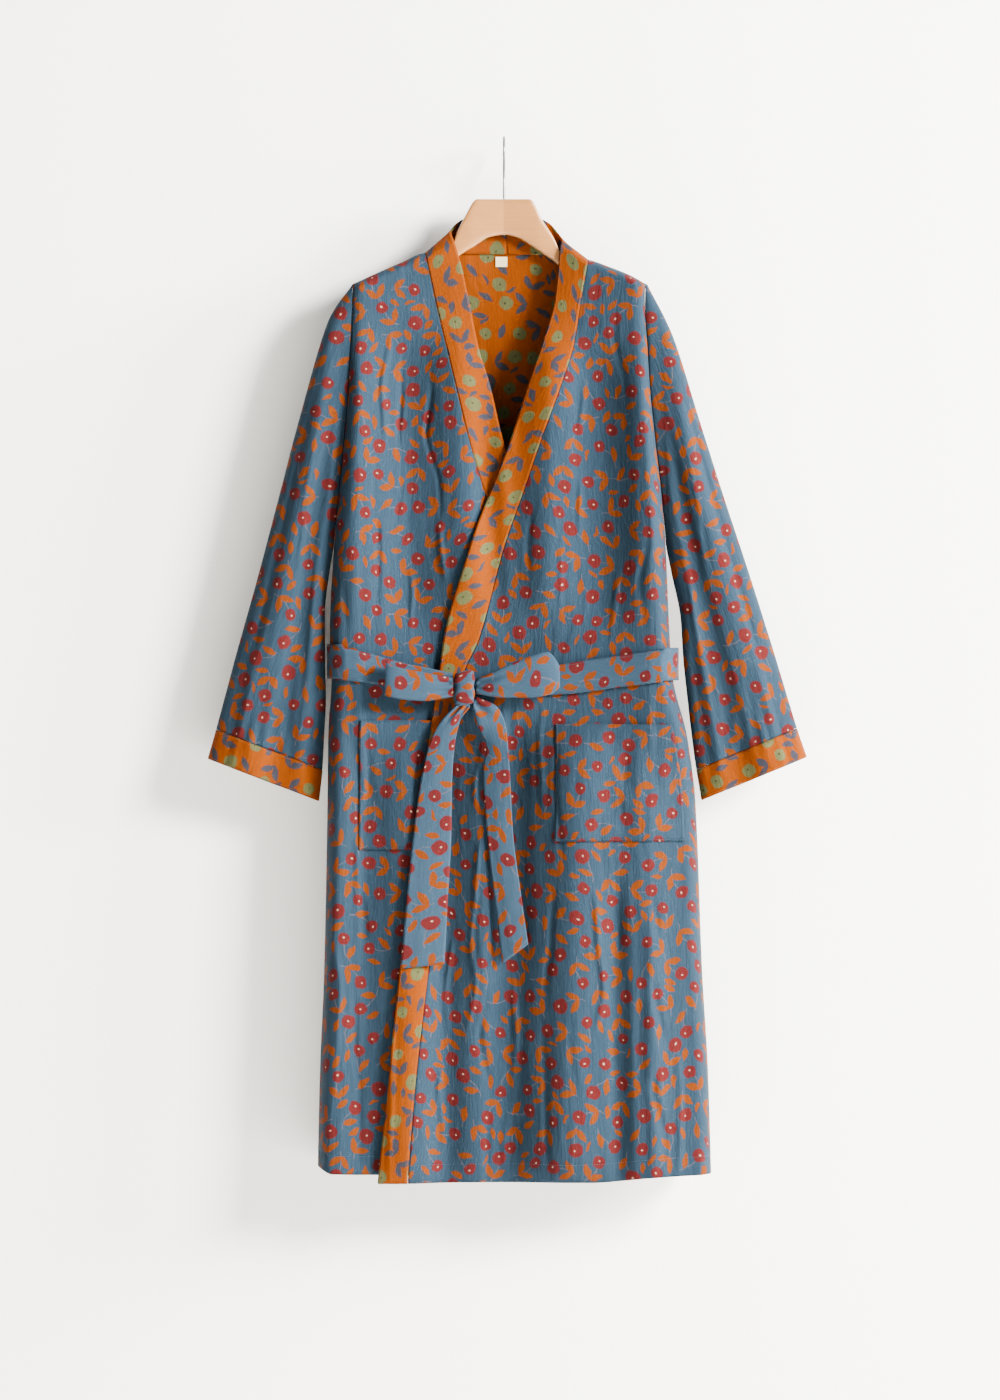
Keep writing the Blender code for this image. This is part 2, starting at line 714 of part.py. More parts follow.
def label_grid():
    """Points of the small bare label inside the back neck."""
    rows = []
    for drop in np.linspace(LABEL_TOP, LABEL_TOP + LABEL_SIZE[1], 3):
        row = []
        for x in np.linspace(LABEL_START, LABEL_START + LABEL_SIZE[0], 3):
            back = back_y(x, drop, TOP_LINE["x"][-1], TOP_LINE["x"][0])
            row.append((x, back - WALL - LABEL_WALL - 2 * SEAM_GAP, -drop))
        rows.append(row)
    return np.array(rows)


def material(name, colour, roughness, metallic=0.0):
    """Principled material of one colour."""
    made = bpy.data.materials.new(name)
    made.use_nodes = True
    shader = made.node_tree.nodes["Principled BSDF"]
    shader.inputs["Base Color"].default_value = (*colour, 1)
    shader.inputs["Roughness"].default_value = roughness
    shader.inputs["Metallic"].default_value = metallic
    made.diffuse_color = (*colour, 1)
    return made


MATT = 0.9
BLUE = (0.13, 0.24, 0.33)
ORANGE = (0.72, 0.22, 0.03)
CREAM = (0.78, 0.68, 0.5)
BEECH = (0.74, 0.5, 0.29)
STEEL = (0.6, 0.6, 0.6)


def build():
    """Make all the pieces."""
    for made in list(bpy.data.objects):
        bpy.data.objects.remove(made)
    parts = bpy.data.collections.new("kimono_robe")
    bpy.context.scene.collection.children.link(parts)

    back = back_grid()
    cloth("back", back, WALL, BLUE, parts)
    for panel, over in (("right", 0.0), ("left", 1.0)):
        flip = panel == "right"
        front = front_grid(panel, over)
        cloth(f"front_{panel}", front, WALL, BLUE, parts, flip=flip)
        cloth(f"band_{panel}", band_grid(panel, over, front, back), FOLDED_WALL, ORANGE, parts, flip=flip)
        cloth(f"pocket_{panel}", pocket_grid(panel, front), WALL, BLUE, parts, flip=flip)
        sleeve = [sleeve_ring(panel, place) for place in np.linspace(0, CUFF_START, SLEEVE_RINGS)]
        cloth(f"sleeve_{panel}", np.array(sleeve), WALL, BLUE, parts, closed=True, flip=flip)
        cuff = [sleeve_ring(panel, place) for place in np.linspace(CUFF_START + CUFF_GAP, CUFF_END, CUFF_RINGS)]
        cloth(f"cuff_{panel}", np.array(cuff), FOLDED_WALL, ORANGE, parts, closed=True, flip=flip)

    cloth("belt", belt_grid(), FOLDED_WALL, BLUE, parts, flip=True)
    for name in RIBBONS:
        cloth(name, ribbon_grid(name), FOLDED_WALL, BLUE, parts, flip=name != "bow_loop_left")
    new_object("belt_knot", knot_mesh(), material("belt_knot", BLUE, MATT), parts)
    cloth("label", label_grid(), LABEL_WALL, CREAM, parts, flip=True)
    new_object("hanger", hanger_mesh(), material("hanger", BEECH, 0.4), parts)
    new_object("hook", hook_mesh(), material("hook", STEEL, 0.3, 1.0), parts)


build()
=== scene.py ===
# %% [markdown]
# # A kimono robe on its hanger
#
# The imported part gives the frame: every solid is already in its place, in metres. This lesson dresses
# those solids. Each panel of cloth is worked out again from the same few tables of sizes, with closer
# rows and columns, and then gets its creases, its woven flowers and its stitches.

import functools
import math

import bmesh
import bpy
import numpy as np
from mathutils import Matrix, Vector


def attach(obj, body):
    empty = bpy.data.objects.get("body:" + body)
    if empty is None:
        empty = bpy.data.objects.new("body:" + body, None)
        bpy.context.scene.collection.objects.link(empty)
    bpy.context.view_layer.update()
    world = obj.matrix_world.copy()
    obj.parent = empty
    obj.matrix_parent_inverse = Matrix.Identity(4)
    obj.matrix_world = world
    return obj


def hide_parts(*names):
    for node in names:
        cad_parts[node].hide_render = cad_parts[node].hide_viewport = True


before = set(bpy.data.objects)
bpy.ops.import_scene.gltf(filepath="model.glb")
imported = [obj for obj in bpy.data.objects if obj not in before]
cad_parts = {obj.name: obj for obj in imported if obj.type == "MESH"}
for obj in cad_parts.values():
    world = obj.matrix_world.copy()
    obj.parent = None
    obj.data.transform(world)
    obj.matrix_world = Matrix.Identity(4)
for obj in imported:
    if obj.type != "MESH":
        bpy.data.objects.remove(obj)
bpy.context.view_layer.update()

# %% [markdown]
# ## Sizes
#
# A maker cuts by the tape, so the sizes are in millimetres until a mesh is made. A drop is how far a
# place lies below the hook. The front faces -Y, and the wearer's right is at -X.

# %% The robe's sizes
MM = 0.001
WALL = 1.3
FOLDED_WALL = 2.2
HALF_SEAM = 0.6
BAND_GAP = 0.4
OVERLAP = 7.0
SHOULDER_ROUND = 9.5
SIDE_ROUND = 16.0
UNDERARM = 490.0
ARMHOLE_DEPTH = 13.0
YOKE = 300.0
HEM = 1250.0
WAIST = 637.0
BELT_PRESS = 0.9
BELT_REACH = 60.0
ARM_SPAN = 175.0
ARM_SWEEP = 20.0


def table(columns, *rows):
    """Short table as a dictionary of its named columns."""
    return dict(zip(columns.split(), np.array(rows, dtype=float).T))


def smooth(value, keys, values):
    """Height at value of a soft curve through the points of two columns, level past both ends."""
    keys = np.asarray(keys, dtype=float)
    values = np.asarray(values, dtype=float)
    steep = np.diff(values) / np.diff(keys)
    both = steep[:-1] * steep[1:]
    inner = np.where(both > 0, 2 * both / np.where(both > 0, steep[:-1] + steep[1:], 1), 0)
    slopes = np.concatenate([steep[:1], inner, steep[-1:]])
    value = np.clip(value, keys[0], keys[-1])
    low = np.clip(np.searchsorted(keys, value, side="right") - 1, 0, len(keys) - 2)
    width = keys[low + 1] - keys[low]
    t = (value - keys[low]) / width
    start = (1 + 2 * t) * (1 - t) ** 2 * values[low] + t * (1 - t) ** 2 * width * slopes[low]
    end = t**2 * (3 - 2 * t) * values[low + 1] + t**2 * (t - 1) * width * slopes[low + 1]
    return start + end


def step(value, start, end):
    """Soft step from 0 at start to 1 at end."""
    t = np.clip((value - start) / (end - start), 0, 1)
    return t * t * (3 - 2 * t)


def round_over(distance, radius):
    """Height of a quarter circle of height 1 at a distance from its edge."""
    t = 1 - np.clip(distance / radius, 0, 1)
    return np.sqrt(1 - t * t)


# Edges of the two fronts in the front view. The right front lies under, the left front over.
FRONTS = table(
    "drop right_side right_seam right_edge left_edge left_seam left_side",
    (138, -181, -95, -60, 68, 103, 172),
    (200, -182, -82, -41, 60, 92, 169),
    (250, -184, -70, -31, 45, 84, 172),
    (300, -186, -58, -16, 28, 68, 175),
    (360, -191, -43, -2, 9, 46, 181),
    (430, -198, -22, 22, -18, 22, 189),
    (490, -204, 2, 42, -40, 1, 194),
    (600, -209, 32, 73, -72, -29, 199),
    (650, -207, 53, 84, -79, -50, 203),
    (720, -211, 65, 93, -89, -60, 220),
    (800, -212, 72, 103, -98, -68, 230),
    (1000, -216, 95, 130, -125, -90, 238),
    (1120, -221, 109, 142, -137, -104, 245),
    (1250, -224, 120, 156, -151, -115, 249),
)
# Top line of the cloth: shoulder seams, with the back neck between them
TOP_LINE = table(
    "x drop",
    (-181, 176),
    (-151, 162),
    (-122, 149),
    (-95, 138),
    (-50, 137),
    (50, 138),
    (101, 146),
    (127, 155),
    (152, 165.5),
    (172, 177),
)
NECK_RIGHT = -95.0
NECK_LEFT = 101.0
HEM_LINES = {
    "right": table("x drop", (-224, 1234), (-205, 1243), (120, 1246), (156, 1246)),
    "left": table("x drop", (-151, 1255), (-29, 1253), (104, 1253), (178, 1247), (249, 1243)),
    "back": table("x drop", (-224, 1232), (-200, 1240), (230, 1240), (249, 1234)),
}
# How far the outer faces of the fronts and the back stand from the hanger's plane
DEPTHS = table(
    "drop front back",
    (138, 9.5, 9.5),
    (200, 13, 12),
    (250, 17, 16),
    (350, 24, 22),
    (490, 28, 26),
    (637, 27, 25),
    (750, 31, 29),
    (900, 35, 32),
    (1250, 40, 36),
)

# %% [markdown]
# ## Folds and creases
#
# Hung cloth falls in soft upright folds from wherever it is held: the shoulders and the belt. Each row
# of the tables below is one fold: where it starts and ends, how wide it is and how far it stands out.
# A crease is the same thing, but narrow. A valley has a height below zero. A last, small layer of noise
# gives the crinkle that double gauze keeps after washing.

# %% Tables of folds
FOLD_COLUMNS = "top low x_top x_low width height"
FRONT_FOLDS = table(
    FOLD_COLUMNS,
    (210, 620, 60, 48, 42, 10),
    (220, 640, 116, 120, 42, -10),
    (230, 600, 166, 176, 34, 6),
    (670, 1300, 88, 74, 64, 18),
    (670, 1300, 12, 0, 34, -10),
    (680, 1060, -22, -24, 24, 6),
    (680, 1300, -66, -70, 30, -9),
    (700, 1300, 222, 234, 80, -17),
    (860, 1300, 132, 142, 18, -5),
    (900, 1300, 176, 186, 18, 4),
    (690, 1300, -114, -112, 34, 7),
    (690, 1300, -168, -166, 34, -8),
    (220, 620, -176, -182, 26, 5),
    (200, 640, -122, -112, 48, -10),
    (200, 600, -58, -40, 40, 9),
    (300, 620, -26, -10, 22, -5),
)
BACK_FOLDS = table(
    FOLD_COLUMNS,
    (220, 1300, -150, -165, 26, 3),
    (260, 1300, -100, -105, 28, -3),
    (240, 1300, -48, -58, 26, 3),
    (300, 1300, 4, -6, 28, -3),
    (240, 1300, 55, 60, 26, 3),
    (260, 1300, 104, 118, 28, -3),
    (220, 1300, 148, 176, 26, 3),
)
# A fold fades in and out over this length, or half its own if that is less
FOLD_FADE = 90.0
# How much higher and narrower the creases of the front are than the table says
CREASE_HEIGHT = 1.5
CREASE_SPREAD = 0.75
# How far a crease sways, over what length, and the length over which it comes and goes
CREASE_SWAY = 9.0
SWAY_LENGTH = 60.0
BREAK_LENGTH = 55.0
FRONT_CREASES = table(
    FOLD_COLUMNS,
    (190, 420, 132, 140, 9, -2.2),
    (230, 560, 96, 88, 8, 2.0),
    (200, 380, 152, 160, 7, 1.6),
    (330, 600, 160, 168, 10, -2.0),
    (420, 620, 34, 22, 8, -1.8),
    (450, 640, 74, 60, 7, 1.8),
    (500, 640, 104, 98, 6, 1.6),
    (480, 640, 142, 132, 8, 1.6),
    (200, 420, -138, -146, 8, 1.8),
    (240, 520, -124, -128, 7, -1.8),
    (260, 480, -90, -80, 7, -2.2),
    (330, 600, -150, -152, 8, -1.8),
    (420, 640, -72, -64, 8, 2.0),
    (470, 640, -116, -112, 6, 1.8),
    (500, 640, -184, -186, 7, -1.4),
    (660, 860, 46, 42, 8, 2.0),
    (660, 980, 2, -6, 8, 2.0),
    (700, 1100, -28, -40, 7, 2.0),
    (660, 900, 66, 70, 7, -1.8),
    (860, 1280, 56, 52, 9, -2.2),
    (860, 1200, 110, 118, 9, 2.2),
    (900, 1280, 132, 138, 8, -2.0),
    (850, 1280, 178, 190, 10, -2.4),
    (980, 1280, 12, 6, 8, 2.0),
    (900, 1280, -18, -28, 8, -2.0),
    (860, 1240, -58, -76, 6, 1.8),
    (860, 1200, -72, -94, 6, -1.6),
    (870, 1280, -170, -176, 8, -2.0),
    (860, 1280, -128, -134, 7, 1.6),
    (660, 1000, -166, -170, 7, 1.4),
    (1000, 1280, 206, 214, 8, 1.8),
    (900, 1180, -200, -206, 7, 1.6),
)
BACK_CREASES = table(
    FOLD_COLUMNS,
    (180, 480, -128, -136, 8, 2.0),
    (220, 600, -76, -84, 9, -2.2),
    (200, 520, -20, -26, 8, 1.8),
    (240, 620, 30, 26, 8, -2.0),
    (200, 560, 82, 90, 9, 2.0),
    (220, 480, 128, 138, 8, -2.0),
    (660, 1100, -130, -138, 9, 2.2),
    (660, 980, -70, -80, 8, -2.0),
    (660, 1280, -24, -34, 9, 2.0),
    (660, 1000, 34, 30, 8, -2.0),
    (660, 1280, 84, 92, 9, 2.2),
    (660, 1100, 136, 150, 8, -2.0),
    (860, 1280, -186, -194, 8, 2.0),
    (900, 1280, 196, 210, 9, 2.0),
)
# Width, length and height of the crinkles of gauze, in millimetres
LONG_CRINKLE = (9.0, 85.0, 0.8)
SHORT_CRINKLE = (4.5, 38.0, 0.25)
# Width and length of the patches where the cloth is crinkled, and how far the crinkles sway in what size
CRINKLE_PATCH = (60.0, 110.0)
CRINKLE_SWAY = 5.0
CRINKLE_SWAY_SIZE = (70.0, 90.0)
# Share of the crinkle that stays under the belt
PRESSED_CRINKLE = 0.35
NOISE_SIZE = 64
# Each noise has its own fixed seed, and crinkle() takes the three that follow its own as well
SEEDS = {
    "stitches": 7,
    "front": 11,
    "back": 23,
    "sleeve front": 31,
    "sleeve back": 37,
    "pocket": 41,
    "ribbon": 53,
    "belt": 59,
    "crease sway": 61,
    "crease breaks": 67,
}


@functools.lru_cache(maxsize=None)
def noise_heights(seed):
    """Square of random heights from -1 to 1, the same each time for one seed."""
    return np.random.default_rng(seed).uniform(-1, 1, (NOISE_SIZE, NOISE_SIZE))


def soft_noise(u, v, seed):
    """Smooth noise from -1 to 1 with a feature size of one unit."""
    heights = noise_heights(seed)
    left, top = np.floor(u).astype(int), np.floor(v).astype(int)
    s, t = step(u - left, 0, 1), step(v - top, 0, 1)

    def corner(right, down):
        """Height at one corner of the cell that each place is in."""
        return heights[(left + right) % NOISE_SIZE, (top + down) % NOISE_SIZE]

    upper = corner(0, 0) * (1 - s) + corner(1, 0) * s
    lower = corner(0, 1) * (1 - s) + corner(1, 1) * s
    return upper * (1 - t) + lower * t


def folds(x, drop, rows, spread=1.0, sway=0.0):
    """Forward height of all the folds of a table, which may sway and come and go along their length."""
    height = np.zeros(np.broadcast(x, drop).shape)
    for index, (top, low, x_top, x_low, width, rise) in enumerate(zip(*rows.values())):
        ridge = x_top + (x_low - x_top) * (drop - top) / (low - top)
        apart = np.full_like(drop, 3.7 * index)
        ridge = ridge + sway * soft_noise(apart, drop / SWAY_LENGTH, SEEDS["crease sway"])
        fade = min(FOLD_FADE, (low - top) / 2)
        across = 1 - step(np.abs(x - ridge), 0, width * spread)
        along = step(drop, top, top + fade) * (1 - step(drop, low - fade, low))
        if sway:
            apart = np.full_like(drop, 5.3 * index)
            broken = soft_noise(apart, drop / BREAK_LENGTH, SEEDS["crease breaks"])
            along = along * step(broken, -0.6, 0.5)
        height = height + rise * across * along
    return height


def pressed(drop):
    """Share of a fold's height that the belt leaves."""
    return 1 - BELT_PRESS * np.exp(-(((drop - WAIST) / BELT_REACH) ** 2))


def crinkle(u, v, part):
    """Height of the gauze crinkles of a part, which run along v, in millimetres."""

    def layer(across, size, after):
        """Noise with a feature size given as width and length."""
        return soft_noise(across / size[0], v / size[1], SEEDS[part] + after)

    swayed = u + CRINKLE_SWAY * layer(u, CRINKLE_SWAY_SIZE, 1)
    long_ones = LONG_CRINKLE[2] * layer(swayed, LONG_CRINKLE, 0)
    short_ones = SHORT_CRINKLE[2] * layer(swayed, SHORT_CRINKLE, 2)
    return step(layer(u, CRINKLE_PATCH, 3), -0.7, 0.8) * (long_ones + short_ones)


def panel_crinkle(x, drop, part):
    """The same on a panel, where the belt presses most of it flat."""
    return (PRESSED_CRINKLE + (1 - PRESSED_CRINKLE) * pressed(drop)) * crinkle(x, drop, part)


# %% [markdown]
# ## Panels
#
# Front and back are flat cuts of cloth that hang from the shoulder seams. A panel is a grid of points:
# rows follow the cloth down, columns follow it across. Where the cloth turns over the shoulder or round
# to the side seam, the rows and columns lie on a quarter circle.

# %% Front and back panels
ROUND_ANGLES = np.radians(np.linspace(0, 90, 8))
SIDE_STEPS = SIDE_ROUND * (1 - np.cos(ROUND_ANGLES))
SHOULDER_STEPS = SHOULDER_ROUND * (1 - np.cos(ROUND_ANGLES))
YOKE_PARTS = np.linspace(0, 1, 28)[1:-1]
ROW_PITCH = 5.0
LEVELS = np.arange(YOKE, HEM + 1, ROW_PITCH)
FLAT_COLUMNS = {"right": 120, "left": 130}
BACK_SHOULDER_COLUMNS = 16
BACK_NECK_COLUMNS = 48
# Height of the hem's zone where the rows bend to its line, and the width over which the neck opens
HEM_ZONE = 110.0
NECK_SOFTNESS = 23.0


def hanger_plane(x):
    """Y of the hanger's curved middle plane, whose arms sweep forward."""
    return -ARM_SWEEP * np.clip(np.abs(x) / ARM_SPAN, 0, 1) ** 2


def edge_x(column, drop):
    """X of one of the front edges at a drop."""
    return smooth(drop, FRONTS["drop"], FRONTS[column])


def top_drop(x):
    """Drop of the shoulder seam or back neck at x."""
    return smooth(x, TOP_LINE["x"], TOP_LINE["drop"])


def row_drops(start, panel, x_low):
    """Drops of a panel's rows on a thread of cloth that starts at one drop and ends at the hem."""
    near = start + SHOULDER_STEPS
    yoke = near[-1] + (YOKE - near[-1]) * YOKE_PARTS
    hem = HEM_LINES[panel]
    levels = LEVELS + (smooth(x_low, hem["x"], hem["drop"]) - HEM) * step(LEVELS, HEM - HEM_ZONE, HEM)
    return np.concatenate([near, yoke, levels])


def armhole_edge(drop, tip):
    """Distance of an armhole's edge from the hanger's plane, nothing below the underarm."""
    t = np.clip((drop - tip) / (UNDERARM - tip), 0, 1)
    return HALF_SEAM + ARMHOLE_DEPTH * np.sqrt(np.clip(1 - (2 * t - 1) ** 2, 0, 1))


def front_y(x, drop, side_x, tip, over):
    """Y of the outer face of a front, with its soft edge at the side and over the shoulder."""
    flat = smooth(drop, DEPTHS["drop"], DEPTHS["front"]) + OVERLAP * over
    sharp = CREASE_HEIGHT * folds(x, drop, FRONT_CREASES, CREASE_SPREAD, CREASE_SWAY)
    flat = flat + pressed(drop) * (folds(x, drop, FRONT_FOLDS) + sharp)
    flat = flat + panel_crinkle(x, drop, "front")
    flat = HALF_SEAM + flat * round_over(drop - top_drop(x), SHOULDER_ROUND)
    edge = armhole_edge(drop, tip)
    return hanger_plane(x) - edge - (flat - edge) * round_over(np.abs(x - side_x), SIDE_ROUND)


def front_grid(panel, over):
    """Points of a front panel, rows from shoulder to hem, columns from side to band seam."""
    inward = 1 if panel == "right" else -1
    tip_x = TOP_LINE["x"][0 if panel == "right" else -1]
    neck_x = NECK_RIGHT if panel == "right" else NECK_LEFT
    tip = top_drop(tip_x)
    flat_parts = np.linspace(0, 1, FLAT_COLUMNS[panel] + 1)
    places = [(0.0, inset) for inset in SIDE_STEPS] + [(part, SIDE_ROUND) for part in flat_parts[1:]]
    low_side = edge_x(f"{panel}_side", HEM)
    low_seam = edge_x(f"{panel}_seam", HEM)
    columns = []
    for part, inset in places:
        top_x = tip_x + inward * inset + (neck_x - tip_x - inward * inset) * part
        low_x = low_side + inward * inset + (low_seam - low_side - inward * inset) * part
        drop = row_drops(top_drop(top_x), panel, low_x)
        side = edge_x(f"{panel}_side", drop)
        seam = edge_x(f"{panel}_seam", drop)
        side[0] = tip_x
        seam[0] = neck_x
        x = side + inward * inset + (seam - side - inward * inset) * part
        columns.append(np.stack([x, front_y(x, drop, side, tip, over), -drop], axis=1))
    return np.stack(columns, axis=1)


def back_y(x, drop, left_side, right_side):
    """Y of the outer face of the back."""
    flat = smooth(drop, DEPTHS["drop"], DEPTHS["back"])
    flat = flat + pressed(drop) * (folds(x, drop, BACK_FOLDS) + folds(x, drop, BACK_CREASES))
    flat = flat + panel_crinkle(x, drop, "back")
    neck = step(x, NECK_RIGHT, NECK_RIGHT + NECK_SOFTNESS)
    neck = neck * (1 - step(x, NECK_LEFT - NECK_SOFTNESS, NECK_LEFT))
    flat = HALF_SEAM + flat * np.maximum(round_over(drop - top_drop(x), SHOULDER_ROUND), neck)
    tip = np.where(x < 0, TOP_LINE["drop"][0], TOP_LINE["drop"][-1])
    edge = armhole_edge(drop, tip)
    inside = np.minimum(x - right_side, left_side - x)
    return hanger_plane(x) + edge + (flat - edge) * round_over(inside, SIDE_ROUND)


def back_grid():
    """Points of the back, rows from shoulder to hem, columns from the right side to the left."""
    start = TOP_LINE["x"][0] + SIDE_ROUND
    end = TOP_LINE["x"][-1] - SIDE_ROUND
    neck = [(x - start) / (end - start) for x in (NECK_RIGHT, NECK_LEFT)]
    parts = np.concatenate([
        np.linspace(0, neck[0], BACK_SHOULDER_COLUMNS + 1)[:-1],
        np.linspace(neck[0], neck[1], BACK_NECK_COLUMNS + 1)[:-1],
        np.linspace(neck[1], 1, BACK_SHOULDER_COLUMNS + 1),
    ])
    places = [(0.0, inset - SIDE_ROUND) for inset in SIDE_STEPS[:-1]]
    places += [(part, 0.0) for part in parts]
    places += [(1.0, SIDE_ROUND - inset) for inset in SIDE_STEPS[-2::-1]]
    columns = []
    for part, shift in places:
        top_x = start + (end - start) * part + shift
        low = [edge_x("right_side", HEM) + SIDE_ROUND, edge_x("left_side", HEM) - SIDE_ROUND]
        drop = row_drops(top_drop(top_x), "back", low[0] + (low[1] - low[0]) * part + shift)
        right = edge_x("right_side", drop)
        left = edge_x("left_side", drop)
        right[0] = TOP_LINE["x"][0]
        left[0] = TOP_LINE["x"][-1]
        inner = right + SIDE_ROUND + (left - right - 2 * SIDE_ROUND) * part
        x = inner + shift
        columns.append(np.stack([x, back_y(x, drop, left, right), -drop], axis=1))
    return np.stack(columns, axis=1)


fronts = {"right": front_grid("right", 0.0), "left": front_grid("left", 1.0)}
back = back_grid()
print("the panels have", [grid.shape[:2] for grid in (*fronts.values(), back)], "points")

# %% [markdown]
# ## Collar and front band
#
# One long strip, folded double with the cloth's reverse side out, runs from hem to hem round the neck.
# Its seam edge is the panel's own edge. Its free edge is held up behind the neck and lies down on the
# chest, so the first few places along it come from a table.

# %% Band
BAND_NECKS = {
    "right": table(
        "place x y drop",
        (-4, 0, 13, 92),
        (-2.6, -30, 12.5, 92.5),
        (-1.2, -54, 9.5, 99),
        (0, -64, -3, 111),
        (3, -60, -13, 124),
        (4, -51, -15, 155),
        (5, -41, -18, 200),
    ),
    "left": table(
        "place x y drop",
        (-4, 0, 13, 92),
        (-2.6, 28, 12.5, 92.5),
        (-1.2, 54, 9.5, 101),
        (0, 69, -3, 121),
        (3, 67, -11, 132),
        (4, 65, -17, 158),
        (5, 61, -20, 197),
    ),
}
BAND_ACROSS = np.linspace(0, 1, 13)
BAND_BULGE = 0.8
# Behind the neck the band laps over the back: how far forward, and how far across its seam
NECK_LAP = 1.4
NECK_LAP_ACROSS = 2.2
NECK_LAP_END = -1.5
# Places before and after the table's last one where the band comes down on its front
LIE_BEFORE = 0.5
EDGE_LIES = 0.8
SEAM_LIES = 1.5
# Drops of the seam at the places 3, 4 and 5 of the tables above
BAND_SEAM_DROPS = {"right": (147, 179, 209), "left": (155, 184, 213)}


def band_place(panel, index, half, drop):
    """Place in the neck table of a row of the band: columns of the back neck, then drops of the seam."""
    if index < half:
        return -4 * (half - index) / half
    start = top_drop(NECK_RIGHT if panel == "right" else NECK_LEFT)
    return float(np.interp(drop, (start, *BAND_SEAM_DROPS[panel], 400), (0, 3, 4, 5, 9)))


def band_grid(panel, over, front, back):
    """Points of one half of the collar and front band, rows along it, from its seam to its free edge."""
    neck = BAND_NECKS[panel]
    middle = len(SIDE_STEPS) - 1 + BACK_SHOULDER_COLUMNS + BACK_NECK_COLUMNS // 2
    half = BACK_NECK_COLUMNS // 2
    away = -1 if panel == "right" else 1
    seam = [back[0, middle + away * i] for i in range(half)] + list(front[:, -1])
    rows = []
    for index, sewn in enumerate(seam):
        drop = -sewn[2]
        place = band_place(panel, index, half, drop)
        x = edge_x(f"{panel}_edge", drop)
        side_x = edge_x(f"{panel}_side", drop)
        free = np.array([x, front_y(x, drop, side_x, TOP_LINE["drop"][0], over), -drop])
        last = neck["place"][-1]
        held = np.array([smooth(place, neck["place"], neck[axis]) for axis in ("x", "y", "drop")])
        held[2] *= -1
        free = held + (free - held) * step(place, last - LIE_BEFORE, last + EDGE_LIES)
        if index == 0:
            free[0] = sewn[0]
        toward = (free - sewn) / np.linalg.norm(free - sewn)
        lapped = 1 - step(place, NECK_LAP_END, 0)
        start = sewn + toward * (BAND_GAP - NECK_LAP_ACROSS * lapped)
        start[1] -= NECK_LAP * lapped
        line = start + (free - start) * BAND_ACROSS[:, None]
        follow = step(place, last - LIE_BEFORE, last + SEAM_LIES)
        surface = front_y(line[:, 0], -line[:, 2], side_x, TOP_LINE["drop"][0], over)
        line[:, 1] += (surface - line[:, 1]) * follow
        line[:, 1] -= BAND_BULGE * np.sin(math.pi * BAND_ACROSS)
        rows.append(line)
    return np.array(rows)


bands = {
    "right": band_grid("right", 0.0, fronts["right"], back),
    "left": band_grid("left", 1.0, fronts["left"], back),
}
print("each half of the band has", bands["left"].shape[0], "rows")

# %% [markdown]
# ## Sleeves and cuffs
#
# A sleeve is a tube. A ring of points starts on the armhole and slides down to the cuff, getting flatter
# and wider, and the cuff goes on from there with the reverse side out.

# %% Sleeves
SLEEVE_COLUMNS = "place outer_x outer_drop under_x under_drop y front back"
SLEEVES = {
    "right": table(
        SLEEVE_COLUMNS,
        (0, -181, 176, -204, 490, -20, 13, 13),
        (1, -208, 214, -210, 525, -20, 19, 18),
        (2, -244, 331, -215, 572, -19, 22, 20),
        (3, -270, 430, -215, 622, -18, 22, 20),
        (4, -295, 525, -214, 672, -17, 21, 19),
        (5, -321, 618, -216, 718, -16, 20, 18),
        (6, -346, 711, -218, 759, -15, 19, 17),
        (7, -356, 746, -222, 797, -15, 19, 17),
    ),
    "left": table(
        SLEEVE_COLUMNS,
        (0, 172, 177, 194, 490, -20, 13, 13),
        (1, 201, 234, 202, 528, -20, 19, 18),
        (2, 235, 340, 212, 578, -19, 22, 20),
        (3, 262, 425, 215, 625, -18, 22, 20),
        (4, 295, 525, 220, 672, -17, 21, 19),
        (5, 325, 620, 225, 716, -16, 20, 18),
        (6, 352, 709, 231, 759, -15, 19, 17),
        (7, 364, 744, 237, 796, -15, 19, 17),
    ),
}
SLEEVE_FOLD_COLUMNS = "top low at_top at_low width height"
SLEEVE_FOLDS = {
    "front": table(
        SLEEVE_FOLD_COLUMNS,
        (0.8, 7.5, 0.26, 0.34, 0.2, 4),
        (0.6, 7.5, 0.55, 0.62, 0.2, -5),
        (1.2, 5.0, 0.12, 0.16, 0.06, -1.8),
        (0.5, 3.4, 0.4, 0.46, 0.06, 1.8),
        (2.4, 7.0, 0.46, 0.44, 0.06, 1.8),
        (2.0, 6.5, 0.72, 0.78, 0.07, 2.2),
        (3.6, 7.4, 0.2, 0.22, 0.05, 1.6),
        (3.0, 6.8, 0.86, 0.88, 0.05, -1.6),
        (4.6, 6.3, 0.3, 0.42, 0.06, -2.0),
        (5.0, 6.2, 0.5, 0.66, 0.07, 2.2),
        (4.4, 6.2, 0.14, 0.24, 0.05, 2.0),
        (4.8, 6.3, 0.66, 0.56, 0.05, -1.8),
        (5.2, 6.2, 0.38, 0.3, 0.04, 1.6),
        (3.8, 5.6, 0.6, 0.7, 0.05, 1.8),
        (1.4, 2.8, 0.3, 0.38, 0.05, 1.8),
    ),
    "back": table(
        SLEEVE_FOLD_COLUMNS,
        (0.8, 7.5, 0.3, 0.3, 0.2, 3),
        (0.6, 7.5, 0.6, 0.65, 0.2, -4),
        (1.5, 6.5, 0.15, 0.2, 0.06, -1.8),
        (1.0, 5.0, 0.44, 0.5, 0.06, 1.8),
        (3.0, 7.2, 0.8, 0.84, 0.06, 2.0),
    ),
}
CUFF_START = 6.0
CUFF_END = 7.0
CUFF_GAP = 0.01
CUFF_PROUD = 0.8
CUFF_RINGS = 12
SLEEVE_RINGS = 100
